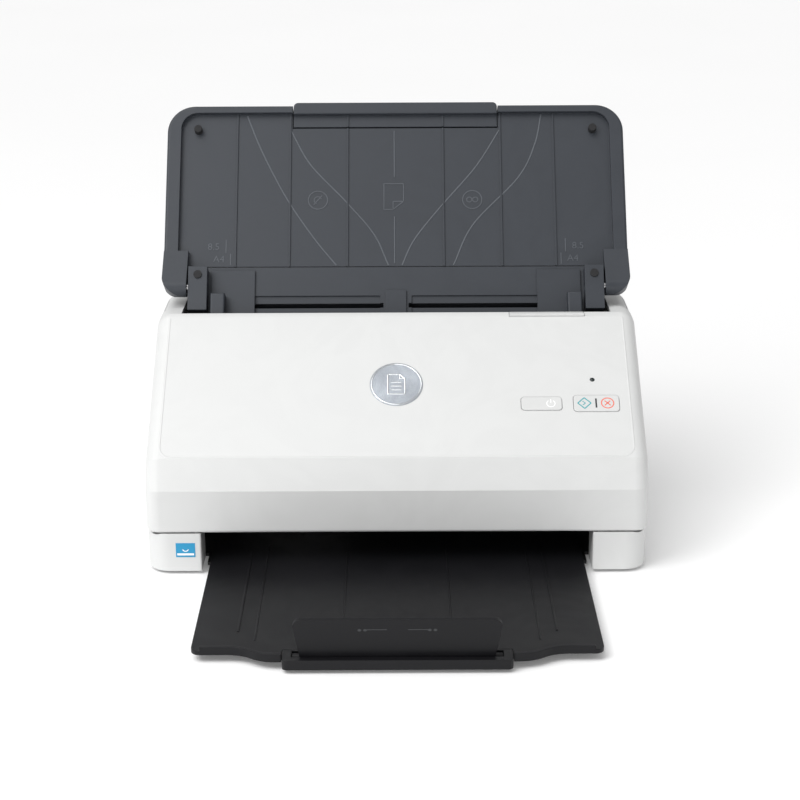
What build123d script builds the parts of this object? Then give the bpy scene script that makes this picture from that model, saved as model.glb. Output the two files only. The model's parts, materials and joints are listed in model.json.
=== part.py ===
from build123d import *
import math
import os

# Sheet fed document scanner.  Millimetres and degrees, +Z up, +X to the right, the user stands at -Y.
# The origin lies on the floor, midway across, and midway from the paper stop's tray to the open lid.

# ---------------------------------------------------------------- driving dimensions
body_width = 300.0
body_depth = 172.0
wall = 2.5
edge_round = 9.0
plan_corner = 14.0
foot_height = 2.0
seam_height = 26.0
seam_gap = 0.4
running = 0.05
clearance = 0.5

band_top = 53.0
bevel_lean = 25.0
bevel_length = 19.3
face_lean = 54.5
face_length = 107.0
top_bevel_run = 4.5
top_bevel_rise = 1.5
cheek_back = 28.0
cheek_inner = 134.8

lid_lean = 34.0
pivot_y = 32.0
pivot_z = 146.0
lid_width = 297.0
lid_length = 126.5
lid_start = 16.0
lid_panel_depth = 6.0
shell_wall = 2.0
lid_rim_depth = 2.5
lid_thickness = 16.0
lid_corner = 18.0
lid_back_round = 5.0
lid_rim_side = 9.0
lid_rim_top = 5.0
ear_width = 15.7
ear_radius = 6.0
ear_round = 12.0
ear_run = 26.0
lid_pin_radius = 2.5

lid_extension_width = 133.0
lid_extension_head = 17.0
lid_extension_lip = 2.0
lid_extension_tongue = 88.0
lid_extension_travel = 62.0

chute_top = 15.5
chute_bottom = -34.0
chute_half = 131.8
flank_width = 12.0
flank_rise = 4.0
plate = 2.0
guide_rest = 108.5
guide_travel = 76.0
guide_slot = -10.3
guide_slot_height = 3.0
guide_module = 1.0
guide_teeth = 14

path_lean = 43.0
path_gap = 1.5
pick_radius = 10.0
feed_radius = 8.0
exit_radius = 7.0
roller_rise = 0.6
nip_gap = 0.35
shaft_radius = 3.0
feed_station = 38.0
pick_distance = 24.0
exit_distance = 44.0
sensor_station = 60.0
chassis_x = 121.0
chassis_thickness = 3.0

gear_module = 0.8
gear_width = 5.0
gear_slack = 0.12
feed_teeth = 30
pick_teeth = 22
exit_teeth = 22
upper_idler_teeth = 16
lower_idler_teeth = 30
pinion_teeth = 12
post_radius = 2.0
motor_radius = 12.5
motor_shaft_radius = 1.2
motor_length = 38.0

hinge_back = 4.0
hinge_rise = 3.2
hinge_pin_radius = 1.25
hinge_sweep = 4.5
hinge_x = 128.0
knuckle_length = 11.0
lug_width = 3.6

opening_half = 117.0
tray_half = 112.0
tray_floor = 4.6
tray_plate = 2.4
tray_reach = 119.0
tray_centre_reach = 128.0
tray_inside = 41.0
tray_lip_height = 6.3
tray_travel = 124.0
stop_tray_reach = 133.0
stop_tray_half = 62.0
stop_tray_tail = 58.0
stop_tray_length = 134.0
stop_tray_travel = 90.0
stop_width_top = 113.0
stop_width_bottom = 103.0
stop_height = 26.0
stop_thickness = 2.4
stop_lean = 8.0
stop_set_back = 9.0

button_rise = 0.5
button_gap = 0.25
button_length = 24.6
button_height = 9.8
scan_length = 27.6
scan_height = 12.0

# ---------------------------------------------------------------- derived places
lid_sin = math.sin(math.radians(lid_lean))
lid_cos = math.cos(math.radians(lid_lean))
front_reach = body_depth / 2 + stop_tray_reach
shell_reach = (lid_length - lid_back_round) * lid_sin + (lid_thickness - lid_back_round) * lid_cos + lid_back_round
tongue_rise = lid_thickness - shell_wall - 0.4
tongue_reach = (lid_length + lid_extension_lip) * lid_sin + tongue_rise * lid_cos
back_reach = pivot_y + max(shell_reach, tongue_reach)
machine_y = (front_reach - back_reach) / 2
front = -body_depth / 2
back = body_depth / 2


def leaning(y, z, lean):
    """A frame whose Y runs up a surface that leans back from upright, and whose Z faces the user."""
    tilt = math.radians(lean)
    return Plane(origin=(0, machine_y + y, z), x_dir=(1, 0, 0), z_dir=(0, -math.cos(tilt), math.sin(tilt)))


def side(x):
    """The side view at x: its X is the machine's Y, its Y is up, and it extrudes to the right."""
    return Plane(origin=(x, machine_y, 0), x_dir=(0, 1, 0), z_dir=(1, 0, 0))


def up_slope(y, z, lean, along, out=0.0):
    """The machine's (y, z) of a point on a leaning frame."""
    tilt = math.radians(lean)
    y_out = y + along * math.sin(tilt) - out * math.cos(tilt)
    z_out = z + along * math.cos(tilt) + out * math.sin(tilt)
    return (y_out, z_out)


def write(piece, name):
    """Labels a finished piece and writes it."""
    piece.part.label = name
    export_step(piece.part, f"parts/{name}.step")


hinge_y = front + hinge_back
hinge_z = seam_height + hinge_rise
lug_offset = (knuckle_length + lug_width) / 2 + clearance
hinge_places = [(hand * hinge_x, machine_y + hinge_y, hinge_z) for hand in (-1, 1)]
band_foot = (front, seam_height + seam_gap)
band_head = (front, band_top)
face_foot = up_slope(front, band_top, bevel_lean, bevel_length)
face_head = up_slope(*face_foot, face_lean, face_length)
cover_edge = (face_head[0] + top_bevel_run, face_head[1] + top_bevel_rise)
cover_top = cover_edge[1]
seam_back = 10.0
path_head = up_slope(pivot_y, pivot_z, lid_lean, chute_bottom, -lid_panel_depth)

lid_frame = leaning(pivot_y, pivot_z, lid_lean)
path_frame = leaning(*path_head, path_lean)
face_frame = leaning(*face_foot, face_lean)

os.makedirs("parts", exist_ok=True)


def gear_outline(teeth, module, phase, slack):
    """The points of a stub-toothed spur gear, its first tooth at the phase angle."""
    pitch = module * teeth / 2
    tip = pitch + 0.8 * module
    root = pitch - 1.0 * module
    base = pitch * math.cos(math.radians(20))
    half = (math.pi * module / 2 - slack) / 2 / pitch
    spread = math.tan(math.radians(20)) - math.radians(20)

    def half_angle(radius):
        if radius <= base:
            return half + spread
        roll = math.acos(base / radius)
        return half + spread - (math.tan(roll) - roll)

    start = max(root, base)
    radii = [start + (tip - start) * step / 3 for step in range(4)]
    points = []
    for tooth in range(teeth):
        middle = math.radians(phase) + 2 * math.pi * tooth / teeth
        flank = [(root, half_angle(start))] if root < base else []
        flank += [(radius, half_angle(radius)) for radius in radii]
        for radius, angle in flank:
            points.append((radius * math.cos(middle - angle), radius * math.sin(middle - angle)))
        for radius, angle in reversed(flank):
            points.append((radius * math.cos(middle + angle), radius * math.sin(middle + angle)))
    return points


def meshed_phase(teeth_a, phase_a, teeth_b, direction):
    """The phase that puts gear b's gap on gear a's tooth, b lying in the given direction from a."""
    share = (direction - phase_a) / (360 / teeth_a)
    return direction + 180 - (0.5 - share) * (360 / teeth_b)


def third_corner(first, second, to_first, to_second, side_sign):
    """The point at given distances from two others, on one side of their line."""
    span = math.dist(first, second)
    along = (to_first**2 - to_second**2 + span**2) / (2 * span)
    off = math.sqrt(to_first**2 - along**2) * side_sign
    ux = (second[0] - first[0]) / span
    uy = (second[1] - first[1]) / span
    return (first[0] + ux * along - uy * off, first[1] + uy * along + ux * off)


def heading(start, end):
    """The direction from one point to another, in degrees."""
    return math.degrees(math.atan2(end[1] - start[1], end[0] - start[0]))


def centre_distance(teeth_a, teeth_b):
    """The distance between two meshed gears' axes."""
    return gear_module * (teeth_a + teeth_b) / 2 + gear_slack


def path_point(station, out):
    """The machine's (y, z) of a point a station down the paper path."""
    return up_slope(*path_head, path_lean, -station, out)


feed_axis = path_point(feed_station, roller_rise - feed_radius)
pick_station = feed_station - math.sqrt(pick_distance**2 - (pick_radius - feed_radius) ** 2)
pick_axis = path_point(pick_station, roller_rise - pick_radius)
exit_station = feed_station + math.sqrt(exit_distance**2 - (feed_radius - exit_radius) ** 2)
exit_axis = path_point(exit_station, roller_rise - exit_radius)
upper_idler_axis = third_corner(
    feed_axis,
    pick_axis,
    centre_distance(feed_teeth, upper_idler_teeth),
    centre_distance(upper_idler_teeth, pick_teeth),
    -1,
)
lower_idler_axis = third_corner(
    feed_axis,
    exit_axis,
    centre_distance(feed_teeth, lower_idler_teeth),
    centre_distance(lower_idler_teeth, exit_teeth),
    1,
)
motor_distance = centre_distance(lower_idler_teeth, pinion_teeth)
motor_heading = math.radians(path_lean - 90)
motor_axis = (
    lower_idler_axis[0] + motor_distance * math.cos(motor_heading),
    lower_idler_axis[1] + motor_distance * math.sin(motor_heading),
)

feed_phase = 0.0
upper_phase = meshed_phase(feed_teeth, feed_phase, upper_idler_teeth, heading(feed_axis, upper_idler_axis))
pick_phase = meshed_phase(upper_idler_teeth, upper_phase, pick_teeth, heading(upper_idler_axis, pick_axis))
lower_phase = meshed_phase(feed_teeth, feed_phase, lower_idler_teeth, heading(feed_axis, lower_idler_axis))
exit_heading = heading(lower_idler_axis, exit_axis)
exit_phase = meshed_phase(lower_idler_teeth, lower_phase, exit_teeth, exit_heading)
motor_heading = heading(lower_idler_axis, motor_axis)
pinion_phase = meshed_phase(lower_idler_teeth, lower_phase, pinion_teeth, motor_heading)

# ---------------------------------------------------------------- base
with BuildPart() as base_housing:
    with BuildSketch(Plane.XY.offset(foot_height)):
        with Locations((0, machine_y)):
            RectangleRounded(body_width, body_depth, plan_corner)
            RectangleRounded(
                body_width - 2 * wall,
                body_depth - 2 * wall,
                plan_corner - wall,
                mode=Mode.SUBTRACT,
            )
    extrude(amount=seam_height - foot_height)
    pillar_width = body_width / 2 - wall - opening_half
    pillar_depth = 22.0
    pillar_middle = opening_half + pillar_width / 2
    with Locations((0, machine_y + front + wall / 2, seam_height / 2)):
        Box(2 * opening_half, 2 * wall, seam_height + 2, mode=Mode.SUBTRACT)
    for hand in (-1, 1):
        with Locations((hand * (opening_half + wall / 2), machine_y + front + pillar_depth / 2, foot_height)):
            Box(wall, pillar_depth, seam_height - foot_height, align=(Align.CENTER, Align.CENTER, Align.MIN))
        with Locations((hand * pillar_middle, machine_y + front + pillar_depth / 2, seam_height - wall)):
            Box(
                pillar_width - plan_corner / 2,
                pillar_depth - plan_corner / 2,
                wall,
                align=(Align.CENTER, Align.CENTER, Align.MIN),
            )
    with Locations((0, machine_y + front + hinge_back, seam_height + hinge_rise)):
        Cylinder(hinge_sweep, body_width, rotation=(0, 90, 0), mode=Mode.SUBTRACT)
    fillet(
        base_housing.edges()
        .filter_by(Axis.Z)
        .filter_by_position(Axis.Y, machine_y + front - 1, machine_y + front + 1),
        1.0,
    )
    for x, y, z in hinge_places:
        for hand in (-1, 1):
            with BuildSketch(side(x + hand * lug_offset)):
                with Locations((hinge_y, hinge_z)):
                    Circle(hinge_pin_radius + 1.0)
                Polygon(
                    (hinge_y, hinge_z + 2.2),
                    (hinge_y + 8, hinge_z + 2.2),
                    (hinge_y + 8, seam_height),
                    (hinge_y + hinge_sweep + 0.3, seam_height),
                    (hinge_y + hinge_sweep + 0.3, hinge_z - 1.1),
                    (hinge_y, hinge_z - 1.1),
                    align=None,
                )
                with Locations((hinge_y, hinge_z)):
                    Circle(hinge_pin_radius, mode=Mode.SUBTRACT)
            extrude(amount=lug_width / 2, both=True)
write(base_housing, "base_housing")

floor_top = foot_height + plate
tail_back = front - stop_tray_reach + 2 + stop_tray_length + tray_travel
bay_back = 6.0
with BuildPart() as bottom_cover:
    inset = wall + clearance / 2
    with BuildSketch(Plane.XY.offset(foot_height)):
        with Locations((0, machine_y)):
            RectangleRounded(body_width - 2 * inset, body_depth - 2 * inset, plan_corner - inset)
        with Locations((0, machine_y + front)):
            Rectangle(2 * opening_half, 2 * (bay_back + wall), mode=Mode.SUBTRACT)
        for hand in (-1, 1):
            with Locations((hand * pillar_middle, machine_y + front)):
                Rectangle(pillar_width + 2 * wall, 2 * (pillar_depth + clearance), mode=Mode.SUBTRACT)
        with Locations((0, machine_y + front)):
            Rectangle(
                2 * (stop_tray_tail + 1),
                tail_back - front + 2,
                align=(Align.CENTER, Align.MIN),
                mode=Mode.SUBTRACT,
            )
    extrude(amount=plate)
write(bottom_cover, "bottom_cover")

foot_radius = 6.0
foot_x = body_width / 2 - 24
foot_y = (front + pillar_depth + 14, back - 16)
with BuildPart() as rubber_feet:
    with Locations(*[(hand * foot_x, machine_y + y, 0) for hand in (-1, 1) for y in foot_y]):
        Cylinder(foot_radius, foot_height, align=(Align.CENTER, Align.CENTER, Align.MIN))
    chamfer(rubber_feet.edges().filter_by(GeomType.CIRCLE).group_by(Axis.Z)[0], 0.5)
write(rubber_feet, "rubber_feet")

screw_radius = 1.5
with BuildPart() as base_screws:
    for hand in (-1, 1):
        for y in (back - 34, front + pillar_depth + 34):
            with Locations((hand * (foot_x + 8), machine_y + y, floor_top)):
                Cylinder(3.0, 1.2, align=(Align.CENTER, Align.CENTER, Align.MIN))
                Cylinder(screw_radius, 7.0, align=(Align.CENTER, Align.CENTER, Align.MIN))
write(base_screws, "base_screws")

label_width = 11.6
label_height = 9.0
with BuildPart() as blue_label:
    with Locations((-body_width / 2 + 23.5, machine_y + front, seam_height - 10.4)):
        Box(label_width, 0.15, label_height, align=(Align.CENTER, Align.MAX, Align.CENTER))
write(blue_label, "blue_label")

# ---------------------------------------------------------------- rear housing
rear_gap = 0.6
rear_top = cover_top - 0.6
rear_shoulder = 62.0
rear_drop = 26.0
rear_outline = [
    (seam_back + rear_gap, seam_height),
    (cheek_back + rear_gap, rear_top),
    (rear_shoulder, rear_top),
    (back, rear_top - rear_drop),
    (back, seam_height),
]
board_y = back - wall - 12.0
board_half = 78.0
board_shift = 38.0
board_bottom = 30.0
board_height = 60.0
board_thickness = 1.6
board_posts = [
    (board_shift + hand * (board_half - 8), machine_y + board_y + board_thickness / 2, z)
    for hand in (-1, 1)
    for z in (board_bottom + 6, board_bottom + board_height - 8)
]
with BuildPart() as rear_housing:
    with BuildSketch(side(0)):
        Polygon(*rear_outline, align=None)
    extrude(amount=body_width / 2, both=True)
    hand_edges = [
        edge
        for edge in rear_housing.edges()
        if abs(abs(edge.center().X) - body_width / 2) < 0.01
        and edge.center().Z > seam_height + 1
        and edge.center().Y > machine_y + cheek_back + rear_gap + 1
    ]
    fillet(hand_edges, edge_round)
    with BuildSketch(side(0)):
        with BuildLine():
            Polyline(
                (seam_back - 30, seam_height - 1),
                (seam_back - 30, rear_top - wall),
                (rear_shoulder - wall / 4, rear_top - wall),
                (back - wall, rear_top - rear_drop - wall * 0.7),
                (back - wall, seam_height - 1),
                close=True,
            )
        make_face()
    extrude(amount=body_width / 2 - wall, both=True, mode=Mode.SUBTRACT)
    chute_well = 21.0
    with Locations((0, machine_y + cheek_back + rear_gap - 5, rear_top - 20)):
        Box(
            2 * cheek_inner,
            chute_well + 5,
            40,
            align=(Align.CENTER, Align.MIN, Align.MIN),
            mode=Mode.SUBTRACT,
        )
    socket_z = 44.0
    usb_x = 62.0
    usb_size = (12.6, 11.4)
    jack_x = 88.0
    jack_radius = 4.6
    with Locations((usb_x, machine_y + back, socket_z)):
        Box(usb_size[0], 4 * wall, usb_size[1], mode=Mode.SUBTRACT)
    with Locations((jack_x, machine_y + back, socket_z)):
        Cylinder(jack_radius, 4 * wall, rotation=(90, 0, 0), mode=Mode.SUBTRACT)
    vent_width = 2.0
    with Locations(*[(-90 + 6 * index, machine_y + back, 60) for index in range(12)]):
        Box(vent_width, 4 * wall, 26, mode=Mode.SUBTRACT)
    with Locations(*board_posts):
        Cylinder(
            3,
            back - wall - board_y,
            rotation=(-90, 0, 0),
            align=(Align.CENTER, Align.CENTER, Align.MIN),
        )
write(rear_housing, "rear_housing")

# ---------------------------------------------------------------- chassis side plates
chassis_outline = [
    path_point(106, -4.0),
    path_point(8, -4.0),
    (path_point(8, -4.0)[0] + 16, path_point(8, -4.0)[1] + 2),
    (60.0, 100.0),
    (60.0, floor_top),
    (path_point(106, -4.0)[0] - 4, floor_top),
]
bore_radius = shaft_radius + 1.5
for name, hand in (("chassis_left", -1), ("chassis_right", 1)):
    with BuildPart() as chassis:
        with BuildSketch(side(hand * (chassis_x + chassis_thickness / 2))):
            Polygon(*chassis_outline, align=None)
            with Locations(pick_axis, feed_axis, exit_axis):
                Circle(bore_radius, mode=Mode.SUBTRACT)
            if hand < 0:
                with Locations(motor_axis):
                    Circle(gear_module * pinion_teeth / 2 + 2, mode=Mode.SUBTRACT)
        extrude(amount=chassis_thickness / 2, both=True)
        if hand < 0:
            with BuildSketch(side(-chassis_x - chassis_thickness)):
                with Locations(upper_idler_axis, lower_idler_axis):
                    Circle(post_radius)
            extrude(amount=-(2 * clearance + gear_width))
            with BuildSketch(side(-chassis_x - chassis_thickness - 2 * clearance - gear_width)):
                with Locations(upper_idler_axis, lower_idler_axis):
                    Circle(post_radius + 1.4)
            extrude(amount=-1.0)
    write(chassis, name)

with BuildPart() as shaft_bushes:
    for hand in (-1, 1):
        with BuildSketch(side(hand * (chassis_x + chassis_thickness / 2))):
            with Locations(pick_axis, feed_axis, exit_axis):
                Circle(bore_radius)
                Circle(shaft_radius + running, mode=Mode.SUBTRACT)
        extrude(amount=chassis_thickness / 2, both=True)
write(shaft_bushes, "shaft_bushes")

gear_x = -(chassis_x + chassis_thickness + clearance)
# ---------------------------------------------------------------- driven rollers and gears
def build_gear(teeth, phase, axis, bore):
    """One spur gear of the left-hand train; one with no bore carries the motor's own shaft."""
    with BuildPart() as gear:
        with BuildSketch(side(gear_x)):
            with Locations(axis):
                Polygon(*gear_outline(teeth, gear_module, phase, gear_slack), align=None)
                if bore:
                    Circle(bore, mode=Mode.SUBTRACT)
        extrude(amount=-gear_width)
        if not bore:
            with BuildSketch(side(gear_x)):
                with Locations(axis):
                    Circle(motor_shaft_radius)
            extrude(amount=clearance + chassis_thickness + motor_length * 0.8)
    return gear


train = (
    ("pick_gear", pick_teeth, pick_phase, pick_axis, shaft_radius),
    ("feed_gear", feed_teeth, feed_phase, feed_axis, shaft_radius),
    ("exit_gear", exit_teeth, exit_phase, exit_axis, shaft_radius),
    ("upper_idler_gear", upper_idler_teeth, upper_phase, upper_idler_axis, post_radius + running),
    ("lower_idler_gear", lower_idler_teeth, lower_phase, lower_idler_axis, post_radius + running),
    ("motor_pinion", pinion_teeth, pinion_phase, motor_axis, 0),
)
for name, teeth, phase, axis, bore in train:
    write(build_gear(teeth, phase, axis, bore), name)

roller_sets = (
    ("pick", pick_axis, pick_radius, [0.0], 40.0),
    ("feed", feed_axis, feed_radius, [-72.0, -36.0, 36.0, 72.0], 16.0),
    ("exit", exit_axis, exit_radius, [-72.0, -36.0, 36.0, 72.0], 14.0),
)
shaft_end = chassis_x + chassis_thickness + 1.0
tyre_wall = 2.5
for name, axis, radius, places, length in roller_sets:
    with BuildPart() as shaft:
        with BuildSketch(side(shaft_end)):
            with Locations(axis):
                Circle(shaft_radius)
        extrude(amount=gear_x - gear_width - 1.0 - shaft_end)
        for place in places:
            with BuildSketch(side(place - length / 2)):
                with Locations(axis):
                    Circle(radius - tyre_wall)
            extrude(amount=length)
    write(shaft, f"{name}_shaft")
    with BuildPart() as tyres:
        for place in places:
            with BuildSketch(side(place - length / 2)):
                with Locations(axis):
                    Circle(radius)
                    Circle(radius - tyre_wall, mode=Mode.SUBTRACT)
            extrude(amount=length)
    write(tyres, f"{name}_tyres")

motor_flange = 1.5
with BuildPart() as drive_motor:
    with BuildSketch(side(-chassis_x)):
        with Locations(motor_axis):
            Circle(motor_radius)
            Circle(motor_shaft_radius + running, mode=Mode.SUBTRACT)
    extrude(amount=motor_length)
    with BuildSketch(side(-chassis_x)):
        with Locations(motor_axis):
            SlotCenterToCenter(2 * motor_radius + 2, 10)
            Circle(motor_shaft_radius + running, mode=Mode.SUBTRACT)
    extrude(amount=motor_flange)
write(drive_motor, "drive_motor")

# ---------------------------------------------------------------- rear guide and its sensor
path_length = 106.0
guide_half = chassis_x - clearance
sensor_width = 14.0
sensor_depth = 12.0
sensor_half = 112.0
glass_thickness = 1.5
with BuildPart(path_frame) as rear_guide:
    with Locations((0, -path_length / 2 - 1.5, -plate / 2)):
        Box(2 * guide_half, path_length - 3, plate)
    for hand in (-1, 1):
        with Locations((hand * (guide_half - 1), -path_length / 2 - 1.5, -4)):
            Box(2, path_length - 3, 8)
    with Locations((0, -pick_station, 0)):
        Box(44, 2 * 7.0, 3 * plate, mode=Mode.SUBTRACT)
    for station, length in ((feed_station, 20.0), (exit_station, 18.0)):
        with Locations(*[(place, -station, 0) for place in (-72.0, -36.0, 36.0, 72.0)]):
            Box(length, 2 * 6.5, 3 * plate, mode=Mode.SUBTRACT)
    with Locations((0, -sensor_station, 0)):
        Box(2 * sensor_half, sensor_width, 3 * plate, mode=Mode.SUBTRACT)
    with Locations((0, -feed_station, roller_rise - feed_radius)):
        Cylinder(shaft_radius + clearance, 3 * guide_half, rotation=(0, 90, 0), mode=Mode.SUBTRACT)
    with Locations((0, -pick_station, roller_rise - pick_radius)):
        Cylinder(shaft_radius + clearance, 3 * guide_half, rotation=(0, 90, 0), mode=Mode.SUBTRACT)
    with Locations((0, -exit_station, roller_rise - exit_radius)):
        Cylinder(shaft_radius + clearance, 3 * guide_half, rotation=(0, 90, 0), mode=Mode.SUBTRACT)
write(rear_guide, "rear_guide")


def build_sensor(out, name):
    """A contact image sensor bar and its glass, behind or in front of the paper path."""
    with BuildPart(path_frame) as sensor:
        with Locations((0, -sensor_station, out * (glass_thickness + sensor_depth / 2))):
            Box(2 * sensor_half - 0.4, sensor_width - 0.4, sensor_depth)
    write(sensor, f"{name}_sensor")
    with BuildPart(path_frame) as glass:
        with Locations((0, -sensor_station, out * glass_thickness / 2)):
            Box(2 * sensor_half - 0.4, sensor_width - 0.4, glass_thickness)
    return glass


rear_glass = build_sensor(-1, "rear")
write(rear_glass, "rear_glass")

# ---------------------------------------------------------------- feed chute
slot_inner = 8.0
slot_outer = 117.0
pocket_depth = 1.0
chute_middle = (chute_top + chute_bottom) / 2
chute_length = chute_top - chute_bottom
chute_skin = 3.0
rack_offset = guide_module * guide_teeth / 2
pinion_post = 2.5
with BuildPart(lid_frame) as feed_chute:
    with Locations((0, chute_middle, -lid_panel_depth - chute_skin / 2)):
        Box(2 * chute_half, chute_length, chute_skin)
    for hand in (-1, 1):
        with Locations((hand * (chute_half - flank_width / 2), -1.5, -lid_panel_depth)):
            Box(
                flank_width,
                29.0,
                lid_panel_depth + flank_rise,
                align=(Align.CENTER, Align.CENTER, Align.MIN),
            )
        with Locations((hand * (slot_inner + slot_outer) / 2, guide_slot, -lid_panel_depth)):
            Box(slot_outer - slot_inner, guide_slot_height, 4 * chute_skin, mode=Mode.SUBTRACT)
        with Locations((hand * 50, guide_slot, -lid_panel_depth)):
            Box(80, 13, 2 * pocket_depth, mode=Mode.SUBTRACT)
    with Locations((0, -pick_station + chute_bottom, -lid_panel_depth)):
        Box(44, 20, 4 * chute_skin, mode=Mode.SUBTRACT)
    with Locations((0, 0, 0)):
        Cylinder(lid_pin_radius, 3 * chute_half, rotation=(0, 90, 0), mode=Mode.SUBTRACT)
    with Locations((0, guide_slot, -lid_panel_depth - chute_skin)):
        Cylinder(pinion_post, 4.6, align=(Align.CENTER, Align.CENTER, Align.MAX))
    with Locations((0, guide_slot - 1, -lid_panel_depth)):
        Box(13, 22, 1.4, align=(Align.CENTER, Align.CENTER, Align.MIN))
write(feed_chute, "feed_chute")

pin_inner = chute_half - flank_width + 2
pin_outer = lid_width / 2 - 6
with BuildPart(lid_frame) as lid_pins:
    for hand in (-1, 1):
        with Locations((hand * (pin_inner + pin_outer) / 2, 0, 0)):
            Cylinder(lid_pin_radius, pin_outer - pin_inner, rotation=(0, 90, 0))
write(lid_pins, "lid_hinge_pins")

bumper_radius = 2.6
with BuildPart(lid_frame) as chute_bumpers:
    for hand in (-1, 1):
        with Locations((hand * (chute_half - flank_width / 2), 7.5, flank_rise)):
            Cylinder(bumper_radius, 0.8, align=(Align.CENTER, Align.CENTER, Align.MIN))
write(chute_bumpers, "chute_bumpers")

chute_end = up_slope(pivot_y, pivot_z, lid_lean, chute_top, -lid_panel_depth - chute_skin)
with BuildPart() as chute_back_cover:
    with BuildSketch(side(0)):
        Polygon(
            chute_end,
            (chute_end[0] + 3.2, rear_top + 1.2),
            (rear_shoulder - 2, rear_top + 1.2),
            (rear_shoulder - 2, rear_top),
            (cheek_back + rear_gap + chute_well, rear_top),
            (cheek_back + rear_gap + chute_well - clearance, rear_top - 10),
            (cheek_back + rear_gap + chute_well - 2.5, rear_top - 10),
            (cheek_back + rear_gap + chute_well - 2.5, rear_top),
            up_slope(pivot_y, pivot_z, lid_lean, chute_top - 4, -lid_panel_depth - chute_skin),
            align=None,
        )
    extrude(amount=cheek_inner - clearance, both=True)
write(chute_back_cover, "chute_back_cover")

# ---------------------------------------------------------------- paper guides, their racks and pinion
guide_wall = 9.2
guide_foot_inner = 90.0
guide_high = (-4.5, -27.0)
guide_rise = 9.0
rack_height = 3.0
rack_back = lid_panel_depth + chute_skin + clearance
rack_thickness = 3.0
rack_reach = 6.0
foot_thickness = 1.2
foot_top = 13.0


def rack_tooth(middle, pitch_line, outward):
    """The corners of one rack tooth that points towards -outward."""
    half_root = math.pi * guide_module / 4 + 0.25
    half_tip = math.pi * guide_module / 4 - 0.45
    tip = pitch_line - outward * 0.7 * guide_module
    root = pitch_line + outward * 1.1 * guide_module
    return (
        (middle - half_root, root),
        (middle + half_root, root),
        (middle + half_tip, tip),
        (middle - half_tip, tip),
    )


tooth_pitch = math.pi * guide_module
for name, hand in (("left_paper_guide", -1), ("right_paper_guide", 1)):
    level = -hand
    pitch_line = guide_slot + level * rack_offset
    rack_middle = pitch_line + level * (1.1 * guide_module + rack_height / 2)
    guide_middle = sum(guide_high) / 2
    guide_span = guide_high[0] - guide_high[1]
    with BuildPart(lid_frame) as paper_guide:
        with Locations((hand * (guide_rest + guide_wall / 2), guide_middle, -lid_panel_depth + 0.3)):
            Box(guide_wall, guide_span, guide_rise, align=(Align.CENTER, Align.CENTER, Align.MIN))
        fillet(paper_guide.faces().sort_by(Axis((0, 0, 0), lid_frame.z_dir))[-1].edges(), 1.2)
        foot_outer = guide_rest + guide_wall
        with Locations((hand * (guide_foot_inner + foot_outer) / 2, guide_high[1] + 1, -lid_panel_depth + 0.3)):
            Box(
                foot_outer - guide_foot_inner,
                foot_top - guide_high[1] - 1,
                foot_thickness,
                align=(Align.CENTER, Align.MIN, Align.MIN),
            )
        stem_height = guide_slot_height - 2 * clearance
        with Locations((hand * (guide_foot_inner + 10), guide_slot, -lid_panel_depth + 0.6)):
            Box(
                12,
                stem_height,
                0.6 + lid_panel_depth + chute_skin + clearance + rack_thickness - lid_panel_depth,
                align=(Align.CENTER, Align.CENTER, Align.MAX),
            )
        with Locations((hand * (guide_foot_inner + 10), (guide_slot + rack_middle) / 2, -rack_back)):
            Box(
                12,
                abs(rack_middle - guide_slot) + stem_height,
                rack_thickness,
                align=(Align.CENTER, Align.CENTER, Align.MAX),
            )
        rack_length = guide_foot_inner + 16 + rack_reach
        with Locations((hand * (rack_length / 2 - rack_reach), rack_middle, -rack_back)):
            Box(rack_length, rack_height, rack_thickness, align=(Align.CENTER, Align.CENTER, Align.MAX))
        tooth_count = int((guide_foot_inner + rack_reach) / tooth_pitch) - 1
        first = math.ceil((-rack_reach + 0.6 * tooth_pitch) / tooth_pitch) * tooth_pitch
        with BuildSketch(lid_frame.offset(-rack_back)):
            for index in range(tooth_count):
                Polygon(*rack_tooth(hand * (first + index * tooth_pitch), pitch_line, level), align=None)
        extrude(amount=-rack_thickness)
    write(paper_guide, name)

pinion_phase_guide = 90 + 180 / guide_teeth
with BuildPart() as guide_pinion:
    with BuildSketch(lid_frame.offset(-rack_back)):
        with Locations((0, guide_slot)):
            Polygon(*gear_outline(guide_teeth, guide_module, pinion_phase_guide, 0.3), align=None)
            Circle(pinion_post + running, mode=Mode.SUBTRACT)
    extrude(amount=-rack_thickness)
write(guide_pinion, "guide_pinion")

# ---------------------------------------------------------------- circuit board and sockets
with BuildPart() as main_board:
    with Locations((board_shift, machine_y + board_y, board_bottom)):
        Box(2 * board_half, 1.6, board_height, align=(Align.CENTER, Align.CENTER, Align.MIN))
write(main_board, "main_board")

chips = ((10, 60, 16, 2.0), (-12, 52, 9, 1.6), (34, 72, 12, 1.6), (70, 70, 8, 6.0), (-28, 76, 7, 1.4))
with BuildPart() as board_chips:
    for x, z, size, rise in chips:
        with Locations((x, machine_y + board_y - 0.8, z)):
            Box(size, rise, size, align=(Align.CENTER, Align.MAX, Align.CENTER))
write(board_chips, "board_chips")

port_start = machine_y + board_y + 0.8
port_depth = back - 0.6 - board_y - 0.8
with BuildPart() as usb_port:
    with Locations((usb_x, port_start, socket_z)):
        Box(usb_size[0] - 0.4, port_depth, usb_size[1] - 0.4, align=(Align.CENTER, Align.MIN, Align.CENTER))
    with Locations((usb_x, port_start + port_depth, socket_z)):
        Box(8.4, 16, 7.6, mode=Mode.SUBTRACT)
    with Locations((usb_x, port_start + port_depth, socket_z)):
        Box(5.6, 17, 3.2)
    with Locations((usb_x, port_start + port_depth, socket_z)):
        Box(20, 14, 20, align=(Align.CENTER, Align.MIN, Align.CENTER), mode=Mode.SUBTRACT)
write(usb_port, "usb_port")

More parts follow.
